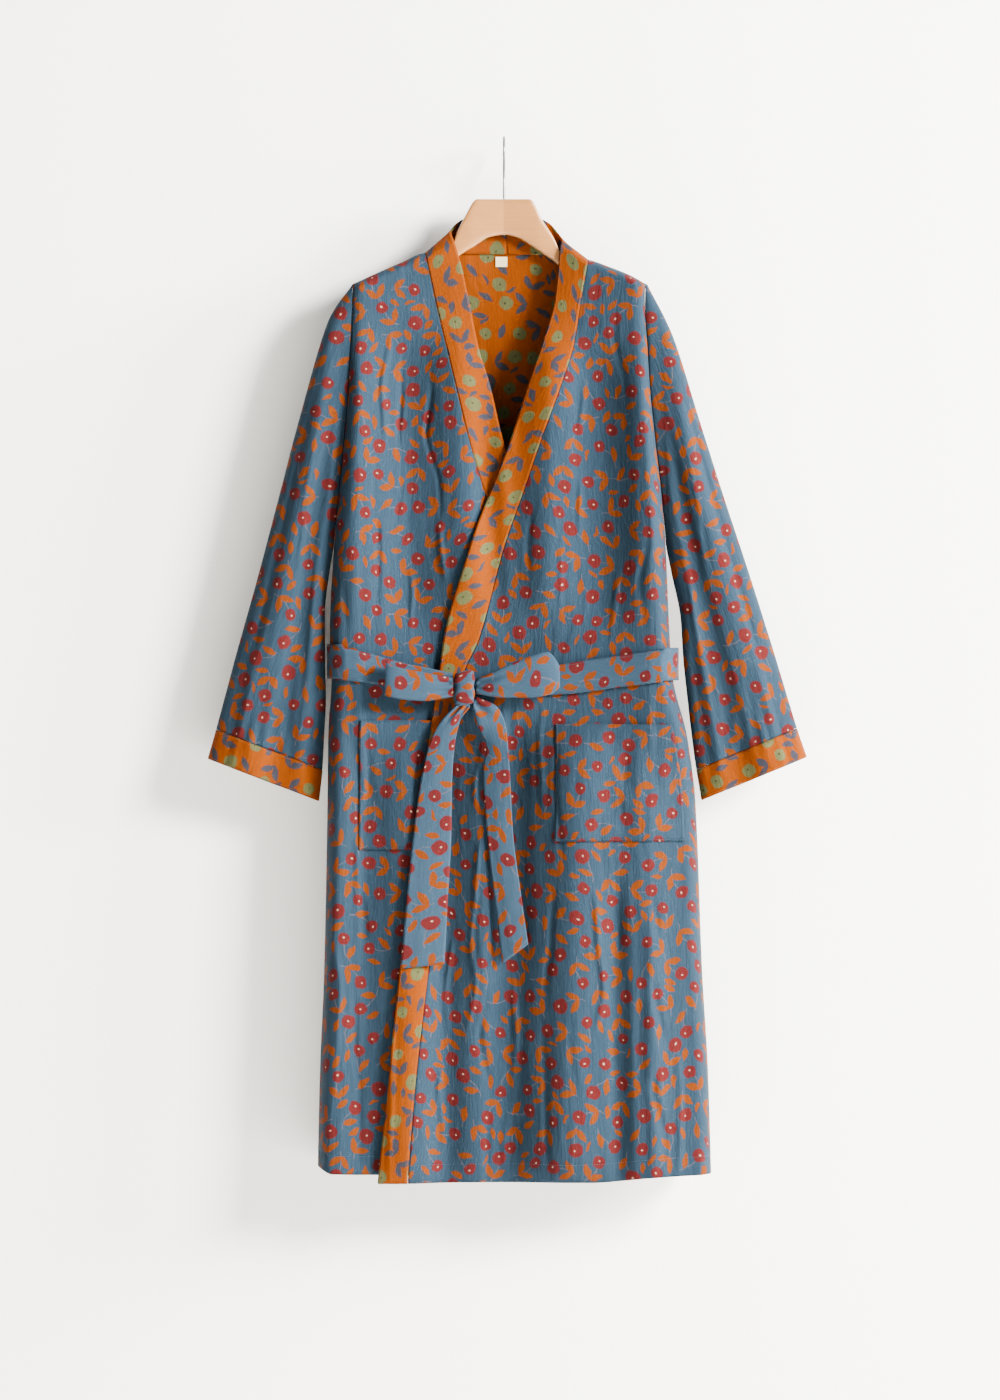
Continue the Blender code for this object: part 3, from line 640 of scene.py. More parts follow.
# Below one, this moves the fullest part of a sleeve from its middle towards its outer fold
SLEEVE_LEAN = 0.72
# Length of cloth from one place of the tables to the next, and the width of a sleeve laid flat
SLEEVE_STEP = 95.0
SLEEVE_WIDTH = 300.0
# Place where a ring has left the line of the armhole
ARMHOLE_END = 0.5
RING_PARTS = 0.5 - 0.5 * np.cos(np.linspace(0, math.pi, 45))


def sleeve_folds(place, t, rows):
    """Outward height of a sleeve's folds at a place along it and a part t round half its ring."""
    height = 0.0
    for top, low, at_top, at_low, width, rise in zip(*rows.values()):
        ridge = at_top + (at_low - at_top) * (place - top) / (low - top)
        fade = min(1.0, (low - top) / 2)
        across = 1 - step(np.abs(t - ridge), 0, width)
        along = step(place, top, top + fade) * (1 - step(place, low - 0.6 * fade, low))
        height = height + rise * across * along
    return height


def sleeve_ring(side, place, proud=0.0):
    """Points round a sleeve: down its front from the top, then up its back."""
    rows = SLEEVES[side]
    value = {name: smooth(place, rows["place"], column) for name, column in rows.items()}
    tip = rows["outer_drop"][0]
    t = RING_PARTS
    x = value["outer_x"] + (value["under_x"] - value["outer_x"]) * t
    drop = value["outer_drop"] + (value["under_drop"] - value["outer_drop"]) * t
    sewn_drop = tip + (UNDERARM - tip) * t
    sewn_x = edge_x(f"{side}_side", sewn_drop)
    sewn_x[0] = rows["outer_x"][0]
    sewn_x = sewn_x + np.sign(sewn_x) * BAND_GAP
    near = 1 - step(place, 0, ARMHOLE_END)
    x = x + (sewn_x - x) * near
    drop = drop + (sewn_drop - drop) * near
    middle = hanger_plane(x) * (1 - step(place, 0, 1)) + value["y"] * step(place, 0, 1)
    bulge = np.sqrt(np.clip(1 - (2 * t**SLEEVE_LEAN - 1) ** 2, 0, 1))
    soft = step(place, 0.05, 0.6) * bulge
    rise = {
        face: sleeve_folds(place, t, SLEEVE_FOLDS[face])
        + soft * crinkle(t * SLEEVE_WIDTH, place * SLEEVE_STEP, f"sleeve {face}")
        for face in SLEEVE_FOLDS
    }
    front = middle - (value["front"] + proud) * bulge - rise["front"]
    back = middle + (value["back"] + proud) * bulge + rise["back"]
    front_half = np.stack([x, front, -drop], axis=1)
    back_half = np.stack([x, back, -drop], axis=1)[-2:0:-1]
    return np.concatenate([front_half, back_half])


def sleeve_grid(side, places, proud=0.0):
    """Rings of a sleeve or a cuff at the places along it."""
    return np.array([sleeve_ring(side, place, proud) for place in places])


sleeve_places = np.linspace(0, CUFF_START, SLEEVE_RINGS)
cuff_places = np.linspace(CUFF_START + CUFF_GAP, CUFF_END, CUFF_RINGS)
sleeves = {side: sleeve_grid(side, sleeve_places) for side in SLEEVES}
cuffs = {side: sleeve_grid(side, cuff_places, CUFF_PROUD) for side in SLEEVES}
print("a sleeve ring has", sleeves["left"].shape[1], "points")

# %% [markdown]
# ## Pockets
#
# A patch pocket is sewn flat on its panel, so it is the panel's own points moved out by the cloth's
# thickness. Its mouth is a little proud, as a hand has pulled it.

# %% Patch pockets
# First and last column of the front that a pocket lies on, and the drops of its mouth and its foot
POCKETS = {"right": (10, 80, 700, 855), "left": (0, 70, 705, 845)}
POCKET_GAP = 0.4
# How far the mouth stands off, and over what share of the pocket that dies away
MOUTH_RISE = 3.4
MOUTH_REACH = 0.25
# How many wrinkles a pocket has of its own across and down it, and how high they are
POCKET_WRINKLES = (9, 5)
POCKET_WRINKLE = 1.3


def normals_of(grid):
    """Unit normals of a grid of points."""
    normal = np.cross(np.gradient(grid, axis=0), np.gradient(grid, axis=1))
    return normal / np.linalg.norm(normal, axis=2, keepdims=True)


def pocket_grid(panel):
    """Points of a pocket, made from the front panel's own points moved out."""
    front = fronts[panel]
    first, last, top, low = POCKETS[panel]
    offset = len(SHOULDER_STEPS) + len(YOKE_PARTS)
    rows = slice(offset + int((top - YOKE) / ROW_PITCH), offset + int((low - YOKE) / ROW_PITCH) + 1)
    columns = slice(len(SIDE_STEPS) - 1 + first, len(SIDE_STEPS) + last)
    outward = normals_of(front)
    outward *= -np.sign(outward[:, -1:, 1:2])
    patch = front[rows, columns]
    down = np.linspace(0, 1, patch.shape[0])[:, None]
    across = np.linspace(0, 1, patch.shape[1])[None, :]
    mouth = MOUTH_RISE * (1 - step(down, 0, MOUTH_REACH)) * np.sin(math.pi * across)
    wide, long = POCKET_WRINKLES
    own = soft_noise(across * wide + 3, down * long + across * 4, SEEDS["pocket"]) + 1
    own = POCKET_WRINKLE * own * np.sin(math.pi * across)
    raised = WALL + POCKET_GAP + mouth + own * step(down, 0, 0.2) * (1 - step(down, 0.9, 1))
    return patch + outward[rows, columns] * raised[:, :, None]


pockets = {panel: pocket_grid(panel) for panel in POCKETS}
print("the left pocket is", round(np.ptp(pockets["left"][0, :, 0])), "mm wide")

# %% [markdown]
# ## The tied belt
#
# The belt goes once round the waist. Its two loops and two free ends are ribbons: each row of a table
# gives the two edges of the ribbon in the front view and how far they stand before the robe. Near the
# knot the cloth is drawn together, so fine pleats run out of it and die away.

# %% Belt, loops, ends and knot
RIBBON_COLUMNS = "x1 drop1 lift1 x2 drop2 lift2"
RIBBONS = {
    "bow_loop_right": table(
        RIBBON_COLUMNS,
        (-60.8, 649, 15, -60.8, 672, 15),
        (-95, 643, 21, -95, 677, 19),
        (-124, 637, 21, -128, 674, 19),
        (-141, 631, 16, -143, 669, 15),
        (-139, 629, 8, -140, 664, 8),
        (-110, 634, 6, -110, 662, 7),
        (-61.5, 644, 9, -61.5, 666, 9),
    ),
    "bow_loop_left": table(
        RIBBON_COLUMNS,
        (-33.6, 651, 14.5, -33.6, 668, 14.5),
        (0, 636, 21, -2, 673, 20),
        (30, 624, 22, 30, 673, 20),
        (52, 618, 19, 55, 669, 18),
        (67, 636, 13, 67, 660, 13),
        (53, 633, 5, 53, 662, 6),
        (28, 636, 5, 28, 663, 6),
        (-32, 649, 9, -32, 666, 9),
    ),
    "belt_end_right": table(
        RIBBON_COLUMNS,
        (-58, 682, 14, -41, 682, 14),
        (-75, 700, 11, -51, 697, 12),
        (-89, 728, 7, -58, 724, 8),
        (-100, 775, 5, -62, 772, 6),
        (-109, 840, 4, -63, 840, 5),
        (-116, 910, 4, -67, 910, 4),
        (-124, 997, 4, -71, 991, 4),
    ),
    "belt_end_left": table(
        RIBBON_COLUMNS,
        (-38.5, 684.5, 12, -32.8, 671, 11),
        (-32, 704, 13, -8, 684, 13),
        (-27, 716, 10, 2, 706, 12),
        (-21, 732, 8, 5, 734, 13),
        (-25, 762, 5, 7, 762, 11),
        (-21, 830, 4, 11, 836, 8),
        (-11, 914, 4, 21, 912, 7),
        (-2, 991, 4, 29, 968, 6),
    ),
}
RIBBON_STATIONS = 120
RIBBON_ACROSS = 17
# How far the ribbons stand before the fronts, how much they bulge, and how high their pleats are
RIBBON_STANDOFF = 6.0
RIBBON_BULGE = 1.6
PLEAT_RISE = 2.2
# Width and length of cloth that a ribbon's crinkle is laid out on
RIBBON_CLOTH = (45.0, 330.0)
RIBBON_CRINKLE = 0.5
# How many pleats leave the knot on each ribbon, and how far they reach along it as a part of it
PLEATS = {
    "bow_loop_right": (2.5, 0.2),
    "bow_loop_left": (2.5, 0.2),
    "belt_end_right": (2.0, 0.28),
    "belt_end_left": (1.5, 0.25),
}


def ribbon_grid(name):
    """Points of a ribbon laid before the fronts, rows along it, columns over its width."""
    rows = RIBBONS[name]
    pleats, reach = PLEATS[name]
    places = np.arange(len(rows["x1"]), dtype=float)
    across = np.linspace(0, 1, RIBBON_ACROSS)
    grid = []
    for place in np.linspace(0, places[-1], RIBBON_STATIONS):
        value = {key: float(smooth(place, places, column)) for key, column in rows.items()}
        ends = []
        for i in (1, 2):
            x, drop = value[f"x{i}"], value[f"drop{i}"]
            y = smooth(drop, DEPTHS["drop"], -DEPTHS["front"]) - OVERLAP + hanger_plane(x)
            ends.append(np.array([x, y - RIBBON_STANDOFF - value[f"lift{i}"], -drop]))
        line = ends[0] + (ends[1] - ends[0]) * across[:, None]
        part = place / places[-1]
        near = (1 - step(part, 0, reach)) * step(part, 0, 0.02)
        rise = PLEAT_RISE * near * np.sin(2 * math.pi * pleats * across)
        rise = rise + RIBBON_BULGE * np.sin(math.pi * across)
        creased = crinkle(across * RIBBON_CLOTH[0], part * RIBBON_CLOTH[1], "ribbon")
        line[:, 1] -= rise + RIBBON_CRINKLE * creased
        grid.append(line)
    return np.array(grid)


BELT_EDGES = {
    "right": table("x top low", (-212, 609, 650), (-165, 619, 655), (-110, 634, 664), (-62, 645, 668)),
    "back": table("x top low", (-212, 609, 650), (0, 612, 656), (206, 613, 652)),
    "left": table(
        "x top low",
        (-33, 651, 669),
        (10, 647, 671),
        (69, 633, 669),
        (150, 621, 659),
        (206, 613, 652),
    ),
}
BELT_ACROSS = np.linspace(0, 1, 11)
BELT_STOPS = (-61.1, -33.9)
BELT_STANDOFF = 3.0
# Between these places the belt climbs on to the front that lies over, or on to the band
BELT_CLIMB = {"right": (-112, -84), "left": (-33, -20)}
BELT_OVER_STANDOFF = 4.2
BELT_TURN = np.radians(np.arange(8, 173, 9))
BELT_POINTS = {"right": 45, "back": 110, "left": 70}
BELT_PITCH = 4.0
BELT_BULGE = 0.9
BELT_CRINKLE = 0.6


def belt_path():
    """Plan of the belt from the knot round the back to the knot, with the name of each leg."""
    right = edge_x("right_side", WAIST) + SIDE_ROUND
    left = edge_x("left_side", WAIST + 23) - SIDE_ROUND
    front = smooth(WAIST, DEPTHS["drop"], DEPTHS["front"]) + FOLDED_WALL + BELT_STANDOFF
    back = smooth(WAIST, DEPTHS["drop"], DEPTHS["back"]) + FOLDED_WALL + BELT_STANDOFF
    reach = SIDE_ROUND + FOLDED_WALL + BELT_STANDOFF
    path = []
    for x in np.linspace(BELT_STOPS[0], right, BELT_POINTS["right"]):
        climbed = (OVERLAP + BELT_OVER_STANDOFF) * step(x, *BELT_CLIMB["right"])
        path.append(("right", x, -front - climbed))
    for angle in BELT_TURN:
        depth = front if angle < math.pi / 2 else back
        path.append(("back", right - reach * math.sin(angle), -depth * math.cos(angle)))
    for x in np.linspace(right, left, BELT_POINTS["back"]):
        path.append(("back", x, back))
    for angle in BELT_TURN[::-1]:
        depth = front + OVERLAP if angle < math.pi / 2 else back
        path.append(("back", left + reach * math.sin(angle), -depth * math.cos(angle)))
    for x in np.linspace(left, BELT_STOPS[1], BELT_POINTS["left"]):
        climbed = BELT_OVER_STANDOFF * (1 - step(x, *BELT_CLIMB["left"]))
        path.append(("left", x, -front - OVERLAP - climbed))
    return path


def belt_grid():
    """Points of the belt round the waist, rows along it."""
    bulge = BELT_BULGE * np.sin(math.pi * BELT_ACROSS)
    rows = []
    for index, (leg, x, y) in enumerate(belt_path()):
        edges = BELT_EDGES[leg]
        top = smooth(x, edges["x"], edges["top"])
        low = smooth(x, edges["x"], edges["low"])
        along = np.full_like(BELT_ACROSS, index * BELT_PITCH)
        creased = BELT_CRINKLE * crinkle(BELT_ACROSS * RIBBON_CLOTH[0], along, "belt")
        outward = 1 if leg == "back" else -1
        depth = y + hanger_plane(x) + (bulge - creased) * outward
        drop = top + (low - top) * BELT_ACROSS
        rows.append(np.stack([np.full_like(drop, x), depth, -drop], axis=1))
    return np.array(rows)


KNOT_MIDDLE = (-47.5, 661.5)
KNOT_SIZE = (27.6, 22.0, 42.0)
KNOT_LIFT = 16.6
# Below one, these make the knot squarer: in plan, in the height of its rings and in their width
KNOT_SQUARE = 0.65
KNOT_TALL = 0.85
KNOT_FULL = 0.45
# The pleats that are drawn round it: how deep, how many, and how far they slant round its face
KNOT_PLEAT = 0.055
KNOT_PLEATS = 9
KNOT_SLANT = 2.4
KNOT_WAIST = 0.1
KNOT_TILT = 1.5


def squared(value, power):
    """Power of a size that keeps its sign, which draws a sine or cosine out towards a square."""
    return np.sign(value) * np.abs(value) ** power


def knot_grid():
    """Rings of the knot from bottom to top, a rounded block with drawn pleats round it."""
    x, drop = KNOT_MIDDLE
    y = -float(smooth(drop, DEPTHS["drop"], DEPTHS["front"])) - OVERLAP - KNOT_LIFT + hanger_plane(x)
    turn = np.radians(np.arange(0, 360, 5))
    flat_x = squared(np.cos(turn), KNOT_SQUARE)
    flat_y = squared(np.sin(turn), KNOT_SQUARE)
    rings = []
    for tilt in np.radians(np.linspace(-84, 84, 41)):
        reach = math.cos(tilt) ** KNOT_FULL
        rise = squared(math.sin(tilt), KNOT_TALL)
        slanted = np.cos(KNOT_PLEATS * tilt + KNOT_SLANT * np.sin(turn))
        pleat = 1 - KNOT_PLEAT * slanted * math.cos(tilt)
        waist = 1 - KNOT_WAIST * math.cos(2 * tilt)
        rings.append(np.stack([
            x + flat_x * reach * waist * pleat * KNOT_SIZE[0] / 2,
            y + flat_y * reach * pleat * KNOT_SIZE[1] / 2,
            -drop + rise * KNOT_SIZE[2] / 2 + KNOT_TILT * flat_x,
        ], axis=1))
    return np.array(rings)


belt = belt_grid()
ribbons = {name: ribbon_grid(name) for name in RIBBONS}
knot = knot_grid()
print("the belt round the waist has", len(belt), "stations")

# %% [markdown]
# ## From grids to cloth
#
# Every piece gets a UV map in metres of real cloth, measured along the grid. The print and the weave
# read it, so a flower is as big on a sleeve as on a front. Solidify gives the wall: the outer face keeps
# the first material, and the inner face takes the second, which is the reverse of the cloth.

# %% Helpers for meshes
def new_object(name, data):
    """Object in the scene that carries a mesh, a light or a camera."""
    made = bpy.data.objects.new(name, data)
    bpy.context.scene.collection.objects.link(made)
    return made


def round_again(grid, closed):
    """Grid with its first column again at the end, where it is closed round."""
    return np.concatenate([grid, grid[:, :1]], axis=1) if closed else grid


def print_on(grid, closed=False, across_from=0.0, along_from=0.0):
    """Place on the cut cloth of both sides of each quad's column, in millimetres along the threads."""
    grid = round_again(grid, closed)
    across = np.cumsum(np.linalg.norm(np.diff(grid, axis=1, prepend=grid[:, :1]), axis=2), axis=1)
    along = np.cumsum(np.linalg.norm(np.diff(grid, axis=0, prepend=grid[:1]), axis=2), axis=0)
    across = across + np.reshape(across_from, (-1, 1))
    along = along + np.reshape(along_from, (1, -1))
    uv = np.stack([across, along], axis=2)
    return np.stack([uv[:, :-1], uv[:, 1:]], axis=2)


def print_on_ribbon(grid, along_from=0.0):
    """The same for a strip that bends in its own plane: the print runs straight along it."""
    along = np.linalg.norm(np.diff(grid, axis=0, prepend=grid[:1]), axis=2).mean(axis=1)
    across = np.linalg.norm(np.diff(grid, axis=1, prepend=grid[:, :1]), axis=2).mean(axis=0)
    uv = np.stack(np.meshgrid(np.cumsum(across), np.cumsum(along) + along_from), axis=2)
    return np.stack([uv[:, :-1], uv[:, 1:]], axis=2)


def print_on_tube(grid, side, along_from=0.0):
    """The same for a sleeve, unrolled forward and back from its top fold along its own slope."""
    rows = SLEEVES[side]
    top = np.array([rows["outer_x"][1], rows["outer_drop"][1]])
    low = np.array([rows["outer_x"][-1], rows["outer_drop"][-1]])
    along = (low - top) / np.linalg.norm(low - top)
    across = np.array([along[1], -along[0]]) * (1 if side == "right" else -1)
    ring = round_again(grid, True)
    flat = np.stack([ring[..., 0], -ring[..., 2]], axis=2) - top
    uv = np.stack([flat @ across, flat @ along + along_from], axis=2)
    pairs = np.stack([uv[:, :-1], uv[:, 1:]], axis=2)
    # Where the ring turns round to the back, the cloth is longer than it looks from the front
    turned = np.linalg.norm(np.diff(ring, axis=1), axis=2)
    turned = turned - np.linalg.norm(np.diff(ring[..., ::2], axis=1), axis=2)
    half = turned.shape[1] // 2
    front = np.cumsum(turned[:, :half], axis=1)
    back = np.cumsum(turned[:, ::-1], axis=1)[:, ::-1][:, half:]
    pairs[:, :half, 0, 0] += front - turned[:, :half]
    pairs[:, :half, 1, 0] += front
    pairs[:, half:, 0, 0] += back
    pairs[:, half:, 1, 0] += back - turned[:, half:]
    pairs[:, half:, :, 0] *= -1
    return pairs


def grid_object(name, grid, uv, closed=False, flip=False):
    """Mesh object of quads over a grid of points, closed round its columns for a tube."""
    rows, columns = grid.shape[:2]
    index = round_again(np.arange(rows * columns).reshape(rows, columns), closed)
    quads = np.stack([index[:-1, :-1], index[:-1, 1:], index[1:, 1:], index[1:, :-1]], axis=2)
    corners = np.stack([uv[:-1, :, 0], uv[:-1, :, 1], uv[1:, :, 1], uv[1:, :, 0]], axis=2)
    if flip:
        quads, corners = quads[:, :, ::-1], corners[:, :, ::-1]
    mesh = bpy.data.meshes.new(name)
    mesh.from_pydata(grid.reshape(-1, 3) * MM, [], quads.reshape(-1, 4).tolist())
    layer = mesh.uv_layers.new(name="cloth")
    layer.data.foreach_set("uv", (corners * MM).ravel())
    mesh.shade_smooth()
    return new_object(name, mesh)


def fill_ends(mesh):
    """Close the open ends of a tube."""
    ends = bmesh.new()
    ends.from_mesh(mesh)
    bmesh.ops.holes_fill(ends, edges=[edge for edge in ends.edges if edge.is_boundary])
    ends.to_mesh(mesh)
    ends.free()


def cloth(node, grid, wall, faces, uv=None, closed=False, flip=False):
    """Piece of cloth that stands for a solid, with its wall, its two materials and its flat cut."""
    made = grid_object(f"{node}_cloth", grid, print_on(grid, closed) if uv is None else uv, closed, flip)
    for finish in faces:
        made.data.materials.append(finish)
    shell = made.modifiers.new("wall", "SOLIDIFY")
    shell.thickness = wall * MM
    shell.offset = -1
    shell.use_even_offset = False
    shell.material_offset = 1
    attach(made, "root")
    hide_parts(node)
    return made

# %% [markdown]
# ## Building materials from nodes
#
# A few small helpers keep the node trees short: they add a node with its settings and links, do a sum,
# lay noise over a place, mix two colours and raise a bump. Colours are written as the hex values that a
# screen shows and turned into linear light.

# %% Helpers for materials
def add(tree, kind, inputs=None, **settings):
    """New node with its settings, its inputs set or linked."""
    node = tree.nodes.new(kind)
    for key, value in settings.items():
        setattr(node, key, value)
    for key, value in (inputs or {}).items():
        if isinstance(value, bpy.types.NodeSocket):
            tree.links.new(value, node.inputs[key])
        else:
            node.inputs[key].default_value = value
    return node


def sum_of(tree, operation, *values, clamp=False):
    """Output of a maths node."""
    node = add(tree, "ShaderNodeMath", dict(enumerate(values)), operation=operation, use_clamp=clamp)
    return node.outputs[0]


def colour(code):
    """Linear colour of an sRGB hex code."""
    parts = [int(code[i : i + 2], 16) / 255 for i in (1, 3, 5)]
    linear = [part / 12.92 if part <= 0.04045 else ((part + 0.055) / 1.055) ** 2.4 for part in parts]
    return (*linear, 1.0)


def noise(tree, place, scale=1.0, detail=2.0, distortion=0.0, stretch=None, kind="FBM"):
    """Noise over a place, which may be scaled by its own amount along each axis first."""
    if stretch:
        place = add(tree, "ShaderNodeMapping", {"Vector": place, "Scale": stretch}).outputs[0]
    inputs = {"Vector": place, "Scale": scale, "Detail": detail, "Distortion": distortion}
    return add(tree, "ShaderNodeTexNoise", inputs, noise_type=kind).outputs["Fac"]


def mix(tree, factor, first, second):
    """Colour between two others, each given as a hex code or as an output."""
    node = add(tree, "ShaderNodeMix", {"Factor": factor}, data_type="RGBA")
    for socket, value in ((node.inputs[6], first), (node.inputs[7], second)):
        if isinstance(value, str):
            socket.default_value = colour(value)
        else:
            tree.links.new(value, socket)
    return node.outputs[2]


def bump(tree, height, strength, distance, normal=None):
    """Normal raised by a height, over another normal where one is given."""
    inputs = {"Height": height, "Strength": strength, "Distance": distance}
    if normal:
        inputs["Normal"] = normal
    return add(tree, "ShaderNodeBump", inputs).outputs[0]


def new_material(name):
    """Empty node material and its Principled shader."""
    made = bpy.data.materials.new(name)
    made.use_nodes = True
    return made, made.node_tree, made.node_tree.nodes["Principled BSDF"]


# %% [markdown]
# ## The woven print
#
# The cloth is a jacquard: flowers, leaves and stems are woven in, and the reverse shows the same drawing
# in the other colours. The drawing here is given as a chart. A sprig fills one cell of a half-drop
# repeat, and each cell turns its sprig by its own amount, so the eye doesn't find the grid. One node
# group works out how near a point of the cloth is to each part of the sprig.

# %% Sprig chart
CELL = 37.0
CELL_LEAN = 24.0
FLOWER_PLACE = (4.5, 9.0)
FLOWER_RADIUS = 7.7
HEART_RADIUS = 1.1
HEART_SHIFT = (1.2, 0.8)
# Each row is a leaf: its middle, its turn, half its length and width, and the share of sprigs with it
SPRIG_LEAVES = table(
    "x y turn length width share",
    (-10.2, -2.6, 98, 9.8, 4.0, 0.86),
    (-0.8, -9.6, 14, 9.6, 3.9, 0.82),
    (14.0, -5.0, 72, 8.4, 3.5, 0.42),
    (-12.5, 13.0, 35, 7.2, 3.2, 0.3),
)
# The stem is an arc round a middle, and only what lies within reach of its own centre is drawn
STEM_MIDDLE = (-24.5, 12.5)
STEM_RADIUS = 28.5
STEM_CENTRE = (-4.0, -4.0)
STEM_REACH = 17.0
STEM_WIDTH = 0.5
# Added to the measure of a part that a sprig leaves out, which takes it past its edge
LEFT_OUT = 9.0
# How wide the soft edge of each part is, in the measure of that part
EDGE_SOFTNESS = {"Flower": 0.8, "Heart": 0.4, "Leaf": 0.16, "Stem": 0.3}
# How far the weaver's slack hand moves the drawing
HAND_WOBBLE = 5.0
# Chance scales a flower's measure by up to the first number more than the second
FLOWER_SIZES = (0.3, 0.85)


def sprig_group():
    """Node group with the masks of the flowers, their hearts, the leaves and the stems."""
    tree = bpy.data.node_groups.new("sprig print", "ShaderNodeTree")
    for name in ("Flower", "Heart", "Leaf", "Stem"):
        tree.interface.new_socket(name, in_out="OUTPUT", socket_type="NodeSocketFloat")
    out = add(tree, "NodeGroupOutput")

    def vector(operation, *values):
        """Vector output of a vector maths node."""
        return add(tree, "ShaderNodeVectorMath", dict(enumerate(values)), operation=operation).outputs[0]

    def distance(place, point):
        """Distance of a place from a point of the sprig."""
        node = add(tree, "ShaderNodeVectorMath", {0: place, 1: (*point, 0)}, operation="DISTANCE")
        return node.outputs["Value"]

    # Thread by thread steps and a slack hand make every edge a little uneven
    uv = add(tree, "ShaderNodeUVMap", uv_map="cloth").outputs["UV"]
    flat = vector("MULTIPLY", uv, (1000, 1000, 0))
    leaning = {"Vector": flat, "Angle": math.radians(CELL_LEAN)}
    turned = add(tree, "ShaderNodeVectorRotate", leaning, rotation_type="Z_AXIS").outputs[0]
    uneven = {"Vector": flat, "Scale": 0.1, "Detail": 1.0}
    wobble = add(tree, "ShaderNodeTexNoise", uneven).outputs["Color"]
    slack = vector("SUBTRACT", wobble, (0.5, 0.5, 0.5))
    place = vector("MULTIPLY_ADD", slack, (HAND_WOBBLE, HAND_WOBBLE, 0), turned)

    # Half-drop cells, and what chance gives to each
    parts = add(tree, "ShaderNodeSeparateXYZ", {0: place})
    column = sum_of(tree, "FLOOR", sum_of(tree, "DIVIDE", parts.outputs[0], CELL))
    odd = sum_of(tree, "FLOORED_MODULO", column, 2.0)
    down = sum_of(tree, "MULTIPLY_ADD", odd, CELL / 2, parts.outputs[1])
    row = sum_of(tree, "FLOOR", sum_of(tree, "DIVIDE", down, CELL))
    local_x = sum_of(tree, "MULTIPLY_ADD", sum_of(tree, "ADD", column, 0.5), -CELL, parts.outputs[0])
    local_y = sum_of(tree, "MULTIPLY_ADD", sum_of(tree, "ADD", row, 0.5), -CELL, down)
    cell = add(tree, "ShaderNodeCombineXYZ", {0: column, 1: row}).outputs[0]
    chance = add(tree, "ShaderNodeTexWhiteNoise", {"Vector": cell}, noise_dimensions="2D")
    rolls = add(tree, "ShaderNodeSeparateColor", {0: chance.outputs["Color"]}).outputs
    local = add(tree, "ShaderNodeCombineXYZ", {0: local_x, 1: local_y}).outputs[0]
    angle = sum_of(tree, "MULTIPLY", rolls[0], 2 * math.pi)
    turn = {"Vector": local, "Angle": angle}
    sprig = add(tree, "ShaderNodeVectorRotate", turn, rotation_type="Z_AXIS").outputs[0]

    # How far each place is from the flower, the leaves and the stem
    size = sum_of(tree, "MULTIPLY_ADD", rolls[1], *FLOWER_SIZES)
    flower = sum_of(tree, "MULTIPLY", distance(sprig, FLOWER_PLACE), size)
    heart_place = [at + shift for at, shift in zip(FLOWER_PLACE, HEART_SHIFT)]
    heart = distance(sprig, heart_place)
    leaf = LEFT_OUT
    for index, (x, y, turn, length, width, share) in enumerate(zip(*SPRIG_LEAVES.values())):
        frame_of_leaf = {
            "Vector": sprig,
            "Location": (x, y, 0),
            "Rotation": (0, 0, math.radians(turn)),
            "Scale": (length, width, 1),
        }
        moved = add(tree, "ShaderNodeMapping", frame_of_leaf, vector_type="TEXTURE").outputs[0]
        sides = add(tree, "ShaderNodeSeparateXYZ", {0: moved}).outputs
        bulge = sum_of(tree, "MULTIPLY", sides[0], sides[0])
        away = sum_of(tree, "ADD", bulge, sum_of(tree, "ABSOLUTE", sides[1]))
        roll = sum_of(tree, "FRACT", sum_of(tree, "MULTIPLY_ADD", rolls[2], 7.0, 0.37 * index))
        absent = sum_of(tree, "MULTIPLY", sum_of(tree, "GREATER_THAN", roll, share), LEFT_OUT)
        leaf = sum_of(tree, "MINIMUM", leaf, sum_of(tree, "ADD", away, absent))
    arc = sum_of(tree, "ABSOLUTE", sum_of(tree, "SUBTRACT", distance(sprig, STEM_MIDDLE), STEM_RADIUS))
    past = sum_of(tree, "GREATER_THAN", distance(sprig, STEM_CENTRE), STEM_REACH)
    stem = sum_of(tree, "MULTIPLY_ADD", past, LEFT_OUT, arc)

    def mask(value, edge, name):
        """One inside an edge, with a soft step as wide as a thread or two, sent to an output."""
        softness = EDGE_SOFTNESS[name]
        limits = {"Value": value, "From Min": edge + softness, "From Max": edge - softness}
        step_node = add(tree, "ShaderNodeMapRange", limits, interpolation_type="SMOOTHSTEP")
        tree.links.new(step_node.outputs[0], out.inputs[name])

    mask(flower, FLOWER_RADIUS, "Flower")
    mask(heart, HEART_RADIUS, "Heart")
    mask(leaf, 1.0, "Leaf")
    mask(stem, STEM_WIDTH, "Stem")
    return tree


print_group = sprig_group()
print("the sprig group has", len(print_group.nodes), "nodes")

# %% [markdown]
# ## Double gauze
#
# Double gauze is two open cotton weaves tacked together. It crinkles in the wash, so its surface has
# small upright puckers, a fine plain weave and a soft bloom of fibre ends at grazing angles. It is matt:
# a rough surface with weak, wide highlights and a little sheen.

# %% Cloth materials
# How fully the threads of each part of the sprig cover the ground
DYE_STRENGTH = {"Stem": 0.55, "Leaf": 0.95, "Flower": 0.95, "Heart": 0.85}


